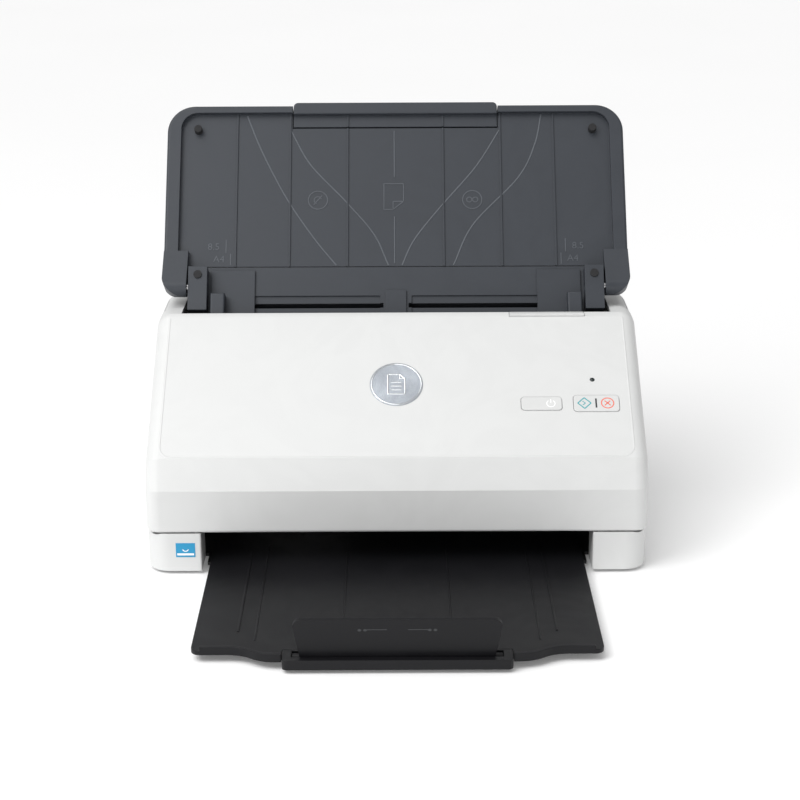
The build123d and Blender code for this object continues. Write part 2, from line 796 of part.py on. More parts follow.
with BuildPart() as power_jack:
    with Locations((jack_x, port_start + port_depth / 2, socket_z)):
        Cylinder(jack_radius - 0.2, port_depth, rotation=(90, 0, 0))
        Cylinder(3.2, 2 * port_depth, rotation=(90, 0, 0), mode=Mode.SUBTRACT)
    with Locations((jack_x, port_start + port_depth / 2 - 1, socket_z)):
        Cylinder(1.0, port_depth - 2, rotation=(90, 0, 0))
    with Locations((jack_x, port_start, socket_z)):
        Box(2 * jack_radius, 1.5, 2 * jack_radius, align=(Align.CENTER, Align.MIN, Align.CENTER))
write(power_jack, "power_jack")

# ---------------------------------------------------------------- front cover
cover_outline = [
    band_foot,
    band_head,
    face_foot,
    face_head,
    cover_edge,
    (cheek_back, cover_top),
    (seam_back, seam_height + seam_gap),
]
notch_back = cover_edge[0] + 0.4
latch_x = 94.4
latch_width = 46.8
latch_depth = 4.6
latch_height = 3.4
button_station = 39.5
power_x = 87.8
scan_x = 121.0
light_x = 119.6
light_station = 57.5
badge_station = 54.5
badge_radius = 16.2
badge_depth = 0.4
with BuildPart() as front_cover:
    with BuildSketch(side(0)):
        Polygon(*cover_outline, align=None)
    extrude(amount=body_width / 2, both=True)
    corner_edges = [
        edge
        for edge in front_cover.edges()
        if abs(abs(edge.center().X) - body_width / 2) < 0.01
        and edge.center().Z > seam_height + 3
        and not (edge.center().Z < cover_top - 2 and edge.center().Y > machine_y + seam_back - 2)
    ]
    fillet(corner_edges, edge_round)
    with BuildSketch(side(0)):
        with BuildLine():
            Polyline(
                (front + wall, seam_height - 1),
                (front + wall, band_top - 0.4),
                up_slope(*face_foot, face_lean, 0.8, -wall),
                up_slope(*face_foot, face_lean, face_length - 1.2, -wall),
                (cover_edge[0] - 1.0, cover_top - wall),
                (cheek_back + 20, cover_top - wall),
                (cheek_back + 20, seam_height - 1),
                close=True,
            )
        make_face()
    extrude(amount=body_width / 2 - wall - 1.0, both=True, mode=Mode.SUBTRACT)
    with Locations((0, machine_y + notch_back, cover_top - 30)):
        Box(2 * cheek_inner, 60, 60, align=(Align.CENTER, Align.MIN, Align.MIN), mode=Mode.SUBTRACT)
    with Locations((latch_x, machine_y + notch_back, cover_top)):
        Box(
            latch_width + 0.4,
            latch_depth + 0.4,
            2 * latch_height,
            align=(Align.CENTER, Align.MAX, Align.CENTER),
            mode=Mode.SUBTRACT,
        )
    with BuildSketch(face_frame):
        with Locations((power_x, button_station)):
            RectangleRounded(button_length + 2 * button_gap, button_height + 2 * button_gap, 2.4)
        with Locations((scan_x, button_station)):
            RectangleRounded(scan_length + 2 * button_gap, scan_height + 2 * button_gap, 2.4)
        with Locations((light_x, light_station)):
            Circle(1.5)
    extrude(amount=-2 * wall, mode=Mode.SUBTRACT)
    with BuildSketch(face_frame):
        with Locations((0, badge_station)):
            Circle(badge_radius)
    extrude(amount=-badge_depth, mode=Mode.SUBTRACT)
    foot_edges = [
        edge
        for edge in front_cover.edges().filter_by(Axis.X)
        if abs(edge.center().Y - machine_y - front) < 0.1 and edge.center().Z < seam_height + 1
    ]
    fillet(foot_edges, wall - 0.6)
    with Locations(*hinge_places):
        Cylinder(hinge_pin_radius + 1.2, knuckle_length, rotation=(0, 90, 0))
        Cylinder(hinge_pin_radius + running, knuckle_length, rotation=(0, 90, 0), mode=Mode.SUBTRACT)
    with Locations(*[(x + hand * lug_offset, y, z) for x, y, z in hinge_places for hand in (-1, 1)]):
        Cylinder(hinge_pin_radius + 1.3, lug_width + 2 * clearance, rotation=(0, 90, 0), mode=Mode.SUBTRACT)
write(front_cover, "front_cover")

pin_length = 22.0
with BuildPart() as front_hinge_pins:
    with Locations(*hinge_places):
        Cylinder(hinge_pin_radius, pin_length, rotation=(0, 90, 0))
write(front_hinge_pins, "front_hinge_pins")

mouth_top = (cover_edge[0] - 1.2, cover_top - wall - 1.8)
mouth_foot = path_point(8, path_gap)
mouth_foot_back = path_point(8, path_gap + plate)
with BuildPart(path_frame) as front_guide:
    with Locations((0, -path_length / 2 - 4, path_gap + plate / 2)):
        Box(2 * (guide_half - 1), path_length - 8, plate)
    with Locations((0, -pick_station, path_gap)):
        Box(30, 2 * 6.0, 3 * plate, mode=Mode.SUBTRACT)
    for station in (feed_station, exit_station):
        with Locations(*[(place, -station, path_gap) for place in (-72.0, -36.0, 36.0, 72.0)]):
            Box(15.0, 2 * 5.0, 3 * plate, mode=Mode.SUBTRACT)
    with Locations((0, -sensor_station, path_gap)):
        Box(2 * sensor_half, sensor_width, 3 * plate, mode=Mode.SUBTRACT)
    with BuildSketch(side(0)):
        Polygon(
            mouth_top,
            (mouth_top[0] - 2, mouth_top[1]),
            mouth_foot_back,
            mouth_foot,
            align=None,
        )
    extrude(amount=guide_half - 1, both=True)
    with BuildSketch(side(latch_x - latch_width / 2 - 1)):
        with Locations((cover_edge[0], cover_top - 9)):
            Rectangle(14, 20)
    extrude(amount=latch_width + 2, mode=Mode.SUBTRACT)
write(front_guide, "front_guide")

# ---------------------------------------------------------------- what the front cover carries
with BuildPart(path_frame) as front_sensor:
    with Locations((0, -sensor_station, path_gap + glass_thickness)):
        Box(
            2 * sensor_half - 0.4,
            sensor_width - 0.4,
            sensor_depth,
            align=(Align.CENTER, Align.CENTER, Align.MIN),
        )
write(front_sensor, "front_sensor")

with BuildPart(path_frame) as front_glass:
    with Locations((0, -sensor_station, path_gap)):
        Box(
            2 * sensor_half - 0.4,
            sensor_width - 0.4,
            glass_thickness,
            align=(Align.CENTER, Align.CENTER, Align.MIN),
        )
write(front_glass, "front_glass")

separation_radius = 5.5
separation_half = 12.0
separation_pin = 1.5
separation_out = roller_rise + nip_gap + separation_radius
with BuildPart(path_frame) as separation_roller:
    with Locations((0, -pick_station, separation_out)):
        Cylinder(separation_radius, 2 * separation_half, rotation=(0, 90, 0))
        Cylinder(separation_pin + running, 3 * separation_half, rotation=(0, 90, 0), mode=Mode.SUBTRACT)
write(separation_roller, "separation_roller")

holder_wall = 2.0
with BuildPart(path_frame) as separation_holder:
    for hand in (-1, 1):
        with Locations((hand * (separation_half + 0.5 + holder_wall / 2), -pick_station, path_gap + plate)):
            Box(
                holder_wall,
                9.0,
                separation_out + 2 - path_gap - plate,
                align=(Align.CENTER, Align.CENTER, Align.MIN),
            )
    with Locations((0, -pick_station, separation_out)):
        Cylinder(separation_pin, 2 * (separation_half + 0.5 + holder_wall), rotation=(0, 90, 0))
write(separation_holder, "separation_holder")

pinch_radius = 4.4
pinch_pin = 1.5
pinch_length = 12.0
pinch_out = roller_rise + nip_gap + pinch_radius
for name, station in (("feed", feed_station), ("exit", exit_station)):
    with BuildPart(path_frame) as pinch:
        with Locations((0, -station, pinch_out)):
            Cylinder(pinch_pin, 2 * 84.0, rotation=(0, 90, 0))
        with Locations(*[(place, -station, pinch_out) for place in (-72.0, -36.0, 36.0, 72.0)]):
            Cylinder(pinch_radius, pinch_length, rotation=(0, 90, 0))
    write(pinch, f"{name}_pinch_rollers")

with BuildPart(path_frame) as pinch_bearings:
    for station in (feed_station, exit_station):
        for x in (-82.0, 0.0, 82.0):
            with Locations((x, -station, path_gap + plate)):
                Box(
                    3.0,
                    8.0,
                    pinch_out - path_gap - plate + 2.6,
                    align=(Align.CENTER, Align.CENTER, Align.MIN),
                )
            with Locations((x, -station, pinch_out)):
                Cylinder(pinch_pin + running, 6.0, rotation=(0, 90, 0), mode=Mode.SUBTRACT)
write(pinch_bearings, "pinch_bearings")

key_depth = wall + 1.6
key_travel = 0.8
with BuildPart() as power_button:
    with BuildSketch(face_frame.offset(button_rise)):
        with Locations((power_x, button_station)):
            RectangleRounded(button_length, button_height, 2.2)
    extrude(amount=-(button_rise + key_depth))
    fillet(power_button.faces().sort_by(Axis((0, 0, 0), face_frame.z_dir))[-1].edges(), 0.35)
write(power_button, "power_button")

with BuildPart() as scan_button:
    with BuildSketch(face_frame.offset(button_rise)):
        with Locations((scan_x, button_station)):
            RectangleRounded(scan_length, scan_height, 2.2)
    extrude(amount=-(button_rise + key_depth))
    fillet(scan_button.faces().sort_by(Axis((0, 0, 0), face_frame.z_dir))[-1].edges(), 0.35)
write(scan_button, "scan_button")

switch_size = 4.0
switch_height = 2.0
board_gap = key_travel + 0.4
panel_board_depth = key_depth + board_gap + switch_height
with BuildPart(face_frame) as panel_board:
    with Locations((104, 46, -panel_board_depth)):
        Box(64, 34, 1.2, align=(Align.CENTER, Align.CENTER, Align.MAX))
    with Locations((75, 60, -wall), (75, 32, -wall), (133.5, 60, -wall), (133.5, 32, -wall)):
        Cylinder(1.6, panel_board_depth - wall, align=(Align.CENTER, Align.CENTER, Align.MAX))
    with Locations(*[(x, button_station, -panel_board_depth) for x in (power_x, scan_x)]):
        Box(switch_size, switch_size, switch_height, align=(Align.CENTER, Align.CENTER, Align.MIN))
write(panel_board, "panel_board")

with BuildPart(face_frame) as status_light:
    with Locations((light_x, light_station, 0.0)):
        Cylinder(1.5, panel_board_depth, align=(Align.CENTER, Align.CENTER, Align.MAX))
write(status_light, "status_light")

with BuildPart(face_frame) as badge:
    with Locations((0, badge_station, -badge_depth)):
        Cylinder(badge_radius, badge_depth + 0.3, align=(Align.CENTER, Align.CENTER, Align.MIN))
    fillet(badge.edges().sort_by(Axis((0, 0, 0), face_frame.z_dir))[-1], 0.25)
write(badge, "round_badge")

latch_lift = 2.5
latch_edge = notch_back
hook_depth = 13.0
with BuildPart() as release_latch:
    with Locations((latch_x, machine_y + latch_edge, cover_top + 0.2)):
        Box(latch_width, latch_depth, latch_height, align=(Align.CENTER, Align.MAX, Align.MAX))
    with Locations((latch_x, machine_y + latch_edge - 1.0, cover_top + 0.2 - latch_height)):
        Box(latch_width * 0.5, 1.8, hook_depth, align=(Align.CENTER, Align.MAX, Align.MAX))
    fillet(release_latch.faces().sort_by(Axis.Z)[-1].edges(), 0.5)
write(release_latch, "release_latch")

# ---------------------------------------------------------------- lid: the input tray
head_half = lid_extension_width / 2
head_bar = 8.0
lid_top_notch = lid_length - lid_extension_head + lid_extension_lip
pocket_front = -lid_panel_depth - 2.6
pocket_back = -lid_thickness + shell_wall + 0.4


def lid_outline(inset):
    """The lid's front view, square at the hinge end and rounded at the far corners."""
    half = lid_width / 2 - inset
    top = lid_length - inset
    radius = lid_corner - inset
    bow = radius * (1 - math.sqrt(0.5))
    with BuildSketch() as outline:
        with BuildLine():
            Polyline((-half, top - radius), (-half, lid_start), (half, lid_start), (half, top - radius))
            ThreePointArc((half, top - radius), (half - bow, top - bow), (half - radius, top))
            Line((half - radius, top), (radius - half, top))
            ThreePointArc((radius - half, top), (bow - half, top - bow), (-half, top - radius))
        make_face()
    return outline.sketch


lid_face = lid_outline(0)
lid_inner_face = lid_outline(shell_wall)
panel_split = -lid_panel_depth - 2.2
rail_width = 3.0
rim_round = 1.8
outer_ribs = (68.3, 102.9)
inner_rib = 31.0
rib_width = 1.1
rib_height = 0.7
bore_end = pin_outer + 0.4
bore_length = 20.0
with BuildPart() as ears:
    for hand in (-1, 1):
        ear_middle = Vector(hand * (lid_width / 2 - ear_width / 2), 0, 0)
        with BuildSketch(Plane(origin=lid_frame.origin + ear_middle, x_dir=lid_frame.y_dir, z_dir=(1, 0, 0))):
            Circle(ear_radius)
            Polygon(
                (1.5, ear_radius - 0.3),
                (ear_run, -lid_rim_depth),
                (ear_run, panel_split),
                (0, panel_split),
                (-2, -ear_radius + 0.4),
                (0, 0),
                align=None,
            )
        extrude(amount=ear_width / 2, both=True)
    with BuildSketch(lid_frame.offset(-lid_thickness)):
        for hand in (-1, 1):
            with Locations((hand * lid_width / 2, -ear_radius)):
                Rectangle(2 * ear_round, 2 * ear_round)
            with Locations((hand * (lid_width / 2 - ear_round), ear_round - ear_radius)):
                Circle(ear_round, mode=Mode.SUBTRACT)
    extrude(amount=2 * lid_thickness, mode=Mode.SUBTRACT)

with BuildPart() as lid_panel:
    with BuildSketch(lid_frame.offset(panel_split)):
        add(lid_face)
    extrude(amount=-panel_split - lid_rim_depth)
    rim_edges = lid_panel.faces().sort_by(Axis((0, 0, 0), lid_frame.z_dir))[-1].edges()
    rim_foot = up_slope(pivot_y, pivot_z, lid_lean, lid_start + 1)[1]
    fillet([edge for edge in rim_edges if edge.center().Z > rim_foot], rim_round)
    with BuildSketch(lid_frame.offset(-lid_panel_depth)):
        inner_half = lid_width / 2 - lid_rim_side
        inner_top = lid_length - lid_rim_top
        with Locations((0, (inner_top + lid_start) / 2 - 5)):
            RectangleRounded(2 * inner_half, inner_top - lid_start + 10, lid_corner - lid_rim_side + 2)
    extrude(amount=2 * lid_panel_depth, mode=Mode.SUBTRACT)
    with BuildSketch(lid_frame.offset(-lid_thickness)):
        with Locations((0, lid_top_notch)):
            Rectangle(lid_extension_width + 2 * clearance, 60, align=(Align.CENTER, Align.MIN))
    extrude(amount=2 * lid_thickness, mode=Mode.SUBTRACT)
    add(ears)
    for hand in (-1, 1):
        with Locations(lid_frame.location * Location((hand * (bore_end - bore_length / 2), 0, 0))):
            Cylinder(lid_pin_radius + running, bore_length, rotation=(0, 90, 0), mode=Mode.SUBTRACT)
    with BuildSketch(lid_frame.offset(-lid_panel_depth)):
        with Locations(*[(hand * x, lid_start) for hand in (-1, 1) for x in outer_ribs]):
            Rectangle(rib_width, inner_top - lid_start, align=(Align.CENTER, Align.MIN))
        with Locations(*[(hand * inner_rib, lid_start) for hand in (-1, 1)]):
            Rectangle(rib_width, lid_top_notch - lid_start, align=(Align.CENTER, Align.MIN))
    extrude(amount=rib_height)
write(lid_panel, "input_tray_panel")

with BuildPart() as lid_shell:
    with BuildSketch(lid_frame.offset(panel_split)):
        add(lid_face)
    extrude(amount=-(lid_thickness + panel_split))
    back_edges = lid_shell.faces().sort_by(Axis((0, 0, 0), lid_frame.z_dir))[0].edges()
    fillet(back_edges, lid_back_round)
    with BuildSketch(lid_frame.offset(panel_split)):
        add(lid_inner_face)
        with Locations((0, lid_start)):
            Rectangle(lid_width, 2 * shell_wall, mode=Mode.SUBTRACT)
    extrude(amount=-(lid_thickness + panel_split - shell_wall), mode=Mode.SUBTRACT, taper=12)
    with BuildSketch(lid_frame.offset(panel_split)):
        with Locations((0, lid_top_notch)):
            Rectangle(lid_extension_width + 2 * clearance, 60, align=(Align.CENTER, Align.MIN))
    extrude(amount=-(lid_thickness + panel_split - shell_wall), mode=Mode.SUBTRACT)
    with BuildSketch(lid_frame.offset(-lid_thickness + shell_wall / 2)):
        with Locations(*[(hand * (head_half + 1.2 + rail_width / 2), 62) for hand in (-1, 1)]):
            Rectangle(rail_width, 70)
    extrude(amount=lid_thickness + panel_split - shell_wall / 2 - 0.4)
write(lid_shell, "input_tray_shell")

with BuildPart(lid_frame) as lid_bumpers:
    for hand in (-1, 1):
        with Locations((hand * 128.5, 110.0, -lid_panel_depth)):
            Cylinder(bumper_radius, 4.6, align=(Align.CENTER, Align.CENTER, Align.MIN))
    fillet(lid_bumpers.faces().sort_by(Axis((0, 0, 0), lid_frame.z_dir))[-2:].edges(), 0.6)
write(lid_bumpers, "lid_bumpers")

with BuildPart(lid_frame) as lid_extension:
    head_top = lid_length + lid_extension_lip
    head_height = lid_extension_head - 1.0
    with Locations((0, head_top, pocket_back)):
        Box(
            lid_extension_width,
            head_height,
            -lid_panel_depth - pocket_back,
            align=(Align.CENTER, Align.MAX, Align.MIN),
        )
    with Locations((0, head_top, -lid_panel_depth - 1.0)):
        Box(
            lid_extension_width,
            head_bar,
            lid_panel_depth + 1.0 - lid_rim_depth,
            align=(Align.CENTER, Align.MAX, Align.MIN),
        )
    upright_edges = [
        edge
        for edge in lid_extension.edges()
        if abs(edge.tangent_at(0).dot(lid_frame.z_dir)) > 0.99
    ]
    fillet(ShapeList(upright_edges).group_by(Axis((0, 0, 0), lid_frame.y_dir))[-1], 3.0)
    fillet(lid_extension.faces().sort_by(Axis((0, 0, 0), lid_frame.z_dir))[-1].edges(), 0.8)
    with Locations(*[(hand * inner_rib, head_top - head_height, -lid_panel_depth) for hand in (-1, 1)]):
        Box(
            rib_width,
            head_height - head_bar + 1.0,
            rib_height,
            align=(Align.CENTER, Align.MIN, Align.MIN),
        )
    with Locations((0, head_top - lid_extension_head + 1.5, pocket_back)):
        Box(
            lid_extension_width - 1.0,
            lid_extension_tongue,
            pocket_front - 0.4 - pocket_back,
            align=(Align.CENTER, Align.MAX, Align.MIN),
        )
write(lid_extension, "input_tray_extension")

# ---------------------------------------------------------------- output tray
tray_rear = machine_y + front + tray_inside
wing_y = machine_y + front - tray_reach
centre_y = machine_y + front - tray_centre_reach
wing_round = 5.0
wing_bow = wing_round * (1 - math.sqrt(0.5))
wing_end = 92.0
centre_end = 66.0
sweep_x = (wing_end + centre_end) / 2
sweep_y = (wing_y + centre_y) / 2
with BuildSketch() as tray_outline:
    with BuildLine():
        Polyline(
            (tray_half, wing_y + wing_round),
            (tray_half, tray_rear),
            (-tray_half, tray_rear),
            (-tray_half, wing_y + wing_round),
        )
        ThreePointArc(
            (-tray_half, wing_y + wing_round),
            (wing_bow - tray_half, wing_y + wing_bow),
            (wing_round - tray_half, wing_y),
        )
        Line((wing_round - tray_half, wing_y), (-wing_end, wing_y))
        TangentArc((-wing_end, wing_y), (-sweep_x, sweep_y), tangent=(1, 0))
        TangentArc((-centre_end, centre_y), (-sweep_x, sweep_y), tangent=(-1, 0))
        Line((-centre_end, centre_y), (centre_end, centre_y))
        TangentArc((centre_end, centre_y), (sweep_x, sweep_y), tangent=(1, 0))
        TangentArc((wing_end, wing_y), (sweep_x, sweep_y), tangent=(-1, 0))
        Line((wing_end, wing_y), (tray_half - wing_round, wing_y))
        ThreePointArc(
            (tray_half - wing_round, wing_y),
            (tray_half - wing_bow, wing_y + wing_bow),
            (tray_half, wing_y + wing_round),
        )
    make_face()
tray_face = tray_outline.sketch
lip_wall = 2.2
head_depth = 15.0
head_gap = 0.4
stop_axis_y = front - stop_tray_reach + stop_set_back
stop_axis_z = tray_floor + 1.1
stop_barrel = 2.0
stop_offset = 1.7
recess_floor = stop_axis_z - stop_barrel - 0.4
recess_reach = 4.9
stop_pin_radius = 1.1
with BuildPart() as output_tray:
    with BuildSketch(Plane.XY.offset(tray_floor)):
        add(tray_face)
    extrude(amount=tray_plate)
    with BuildSketch(Plane.XY.offset(tray_floor + tray_plate)):
        add(tray_face)
        add(tray_face.moved(Location((0, lip_wall, 0))), mode=Mode.SUBTRACT)
        Rectangle(2 * (tray_half - wing_round), 1000, mode=Mode.INTERSECT)
    extrude(amount=tray_lip_height - tray_plate - 1.6)
    with Locations((0, machine_y + front - tray_centre_reach - 1, tray_floor - 1)):
        Box(
            2 * (stop_tray_half + head_gap),
            head_depth + 1 + head_gap - (stop_tray_reach - tray_centre_reach),
            20,
            align=(Align.CENTER, Align.MIN, Align.MIN),
            mode=Mode.SUBTRACT,
        )
    with Locations(*[(x, machine_y + front - 40, tray_floor + tray_plate) for x in (-88, 88)]):
        Box(1.2, 110, 0.5, align=(Align.CENTER, Align.CENTER, Align.MIN))
write(output_tray, "output_tray")

tail_height = 2.0
tail_gap = 0.3
stop_tray_front = machine_y + front - stop_tray_reach
with BuildPart() as tray_extension:
    with Locations((0, machine_y + front - stop_tray_reach, tray_floor - tail_gap - tail_height)):
        Box(
            2 * stop_tray_half,
            head_depth,
            tray_lip_height - 0.6,
            align=(Align.CENTER, Align.MIN, Align.MIN),
        )
    fillet(
        tray_extension.edges()
        .filter_by(Axis.Z)
        .filter_by_position(Axis.Y, stop_tray_front - 1, stop_tray_front + 1),
        3.0,
    )
    with Locations((0, machine_y + front - stop_tray_reach + 2, tray_floor - tail_gap - tail_height)):
        Box(2 * stop_tray_tail, stop_tray_length, tail_height, align=(Align.CENTER, Align.MIN, Align.MIN))
    recess_half = stop_width_top / 2 + 0.6
    with Locations((0, machine_y + stop_axis_y, recess_floor)):
        Box(
            2 * recess_half,
            2 * recess_reach,
            20,
            align=(Align.CENTER, Align.CENTER, Align.MIN),
            mode=Mode.SUBTRACT,
        )
    with Locations((0, machine_y + stop_axis_y + 3.3, tray_floor + tray_plate)):
        Box(2 * stop_tray_half + 2, 30, 20, align=(Align.CENTER, Align.MIN, Align.MIN), mode=Mode.SUBTRACT)
    with Locations(*[(hand * recess_half, machine_y + stop_axis_y, stop_axis_z) for hand in (-1, 1)]):
        Cylinder(stop_pin_radius, 6.0, rotation=(0, 90, 0))
write(tray_extension, "tray_extension")

stop_frame = leaning(stop_axis_y, stop_axis_z, -stop_lean)
barrel_half = recess_half - clearance
with BuildPart() as paper_stop:
    with BuildSketch(stop_frame.offset(stop_offset)):
        Polygon(
            (-stop_width_bottom / 2, -0.5),
            (stop_width_bottom / 2, -0.5),
            (stop_width_bottom / 2 + 1.2, 4.0),
            (stop_width_top / 2, stop_height),
            (-stop_width_top / 2, stop_height),
            (-stop_width_bottom / 2 - 1.2, 4.0),
            align=None,
        )
    extrude(amount=stop_thickness)
    top_corners = [
        edge
        for edge in paper_stop.edges()
        if abs(edge.tangent_at(0.5).dot(stop_frame.z_dir)) > 0.99
        and edge.center().Z > stop_axis_z + stop_height - 2
    ]
    fillet(top_corners, 4.0)
    with Locations(stop_frame.location):
        Cylinder(stop_barrel, 2 * barrel_half, rotation=(0, 90, 0))
    with BuildSketch(stop_frame):
        Rectangle(stop_width_bottom, 2.4, align=(Align.CENTER, Align.CENTER))
    extrude(amount=stop_offset + 0.2)
    with Locations(stop_frame.location):
        Cylinder(stop_pin_radius + running, 4 * barrel_half, rotation=(0, 90, 0), mode=Mode.SUBTRACT)
write(paper_stop, "paper_stop")
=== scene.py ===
"""Looks of a sheet fed document scanner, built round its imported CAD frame.

The CAD nodes keep their shapes and get procedural finishes.  Moulded ribs, printed marks, engraved
symbols and the small hardware that the CAD leaves plain are added as new pieces on the same bodies.
"""

import json
import logging
import math
from dataclasses import dataclass, field
from enum import Enum

import bmesh
import bpy
import numpy as np
from mathutils import Matrix, Vector
from mathutils.bvhtree import BVHTree

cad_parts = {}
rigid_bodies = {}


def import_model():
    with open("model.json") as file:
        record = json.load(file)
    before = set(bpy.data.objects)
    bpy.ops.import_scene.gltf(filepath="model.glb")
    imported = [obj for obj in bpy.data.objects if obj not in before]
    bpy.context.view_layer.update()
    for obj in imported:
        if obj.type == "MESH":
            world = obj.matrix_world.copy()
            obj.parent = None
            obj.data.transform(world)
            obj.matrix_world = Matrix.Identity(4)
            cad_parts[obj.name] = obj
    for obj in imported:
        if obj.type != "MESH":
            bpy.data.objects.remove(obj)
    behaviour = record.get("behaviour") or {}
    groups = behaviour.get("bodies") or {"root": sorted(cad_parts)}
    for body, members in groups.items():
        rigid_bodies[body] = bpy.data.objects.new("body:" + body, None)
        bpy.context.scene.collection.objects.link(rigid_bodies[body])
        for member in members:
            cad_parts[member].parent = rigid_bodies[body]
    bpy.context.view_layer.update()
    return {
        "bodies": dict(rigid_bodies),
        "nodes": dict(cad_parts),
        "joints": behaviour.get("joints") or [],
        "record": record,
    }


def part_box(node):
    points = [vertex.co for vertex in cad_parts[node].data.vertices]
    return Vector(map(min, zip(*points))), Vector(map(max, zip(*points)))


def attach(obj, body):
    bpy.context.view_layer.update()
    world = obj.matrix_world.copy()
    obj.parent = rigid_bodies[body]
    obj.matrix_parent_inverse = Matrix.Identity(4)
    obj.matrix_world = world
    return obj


LOG = logging.getLogger("scanner")
MM = 0.001

Array = np.ndarray


class Body(Enum):
    """The moving bodies that new pieces ride on."""

    BASE = "base"
    COVER = "front_door"
    LID = "lid"
    POWER = "power_key"
    SCAN = "scan_key"
    TRAY = "output_tray"
    STOP = "paper_stop"


# ---------------------------------------------------------------- shader building blocks
class Graph:
    """A node tree with short calls for adding and joining nodes."""

    def __init__(self, tree: bpy.types.NodeTree) -> None:
        """Keeps the tree that nodes are added to."""
        self.tree = tree

    def add(self, kind: str, inputs: dict | None = None, **settings: object) -> bpy.types.Node:
        """Adds one node.

        Args:
            kind: the node's Blender type name.
            inputs: socket names with a constant, or with the socket that feeds them.
            settings: properties of the node.

        Returns:
            The new node.
        """
        node = self.tree.nodes.new(kind)
        for name, value in settings.items():
            setattr(node, name, value)
        for name, value in (inputs or {}).items():
            if isinstance(value, bpy.types.NodeSocket):
                self.tree.links.new(value, node.inputs[name])
            else:
                node.inputs[name].default_value = value
        return node

    def math(self, operation: str, first: object, second: object = 0.0) -> bpy.types.NodeSocket:
        """Adds a Math node and returns its value."""
        return self.add("ShaderNodeMath", {0: first, 1: second}, operation=operation).outputs[0]

    def span(self, value: bpy.types.NodeSocket, low: float, high: float) -> bpy.types.NodeSocket:
        """Carries a value from 0..1 to low..high and returns it."""
        node = self.add("ShaderNodeMapRange", {"Value": value, "To Min": low, "To Max": high})
        return node.outputs["Result"]

    def blend(self, factor: object, first: object, second: object) -> bpy.types.NodeSocket:
        """Mixes two colours by a factor and returns the colour."""
        node = self.add("ShaderNodeMix", data_type="RGBA")
        for index, value in ((0, factor), (6, first), (7, second)):
            if isinstance(value, bpy.types.NodeSocket):
                self.tree.links.new(value, node.inputs[index])
            else:
                node.inputs[index].default_value = value
        return node.outputs[2]


def new_group(
    name: str, inputs: dict[str, str], outputs: dict[str, str]
) -> tuple[Graph, dict, bpy.types.Node]:
    """Makes an empty shader group.

    Args:
        name: the group's name.
        inputs: socket names and their types.
        outputs: socket names and their types.

    Returns:
        The graph, the input sockets by name and the group's output node.
    """
    tree = bpy.data.node_groups.new(name, "ShaderNodeTree")
    for label, kind in inputs.items():
        tree.interface.new_socket(label, in_out="INPUT", socket_type=kind)
    for label, kind in outputs.items():
        tree.interface.new_socket(label, in_out="OUTPUT", socket_type=kind)
    graph = Graph(tree)
    source = graph.add("NodeGroupInput")
    target = graph.add("NodeGroupOutput")
    return graph, {label: source.outputs[label] for label in inputs}, target


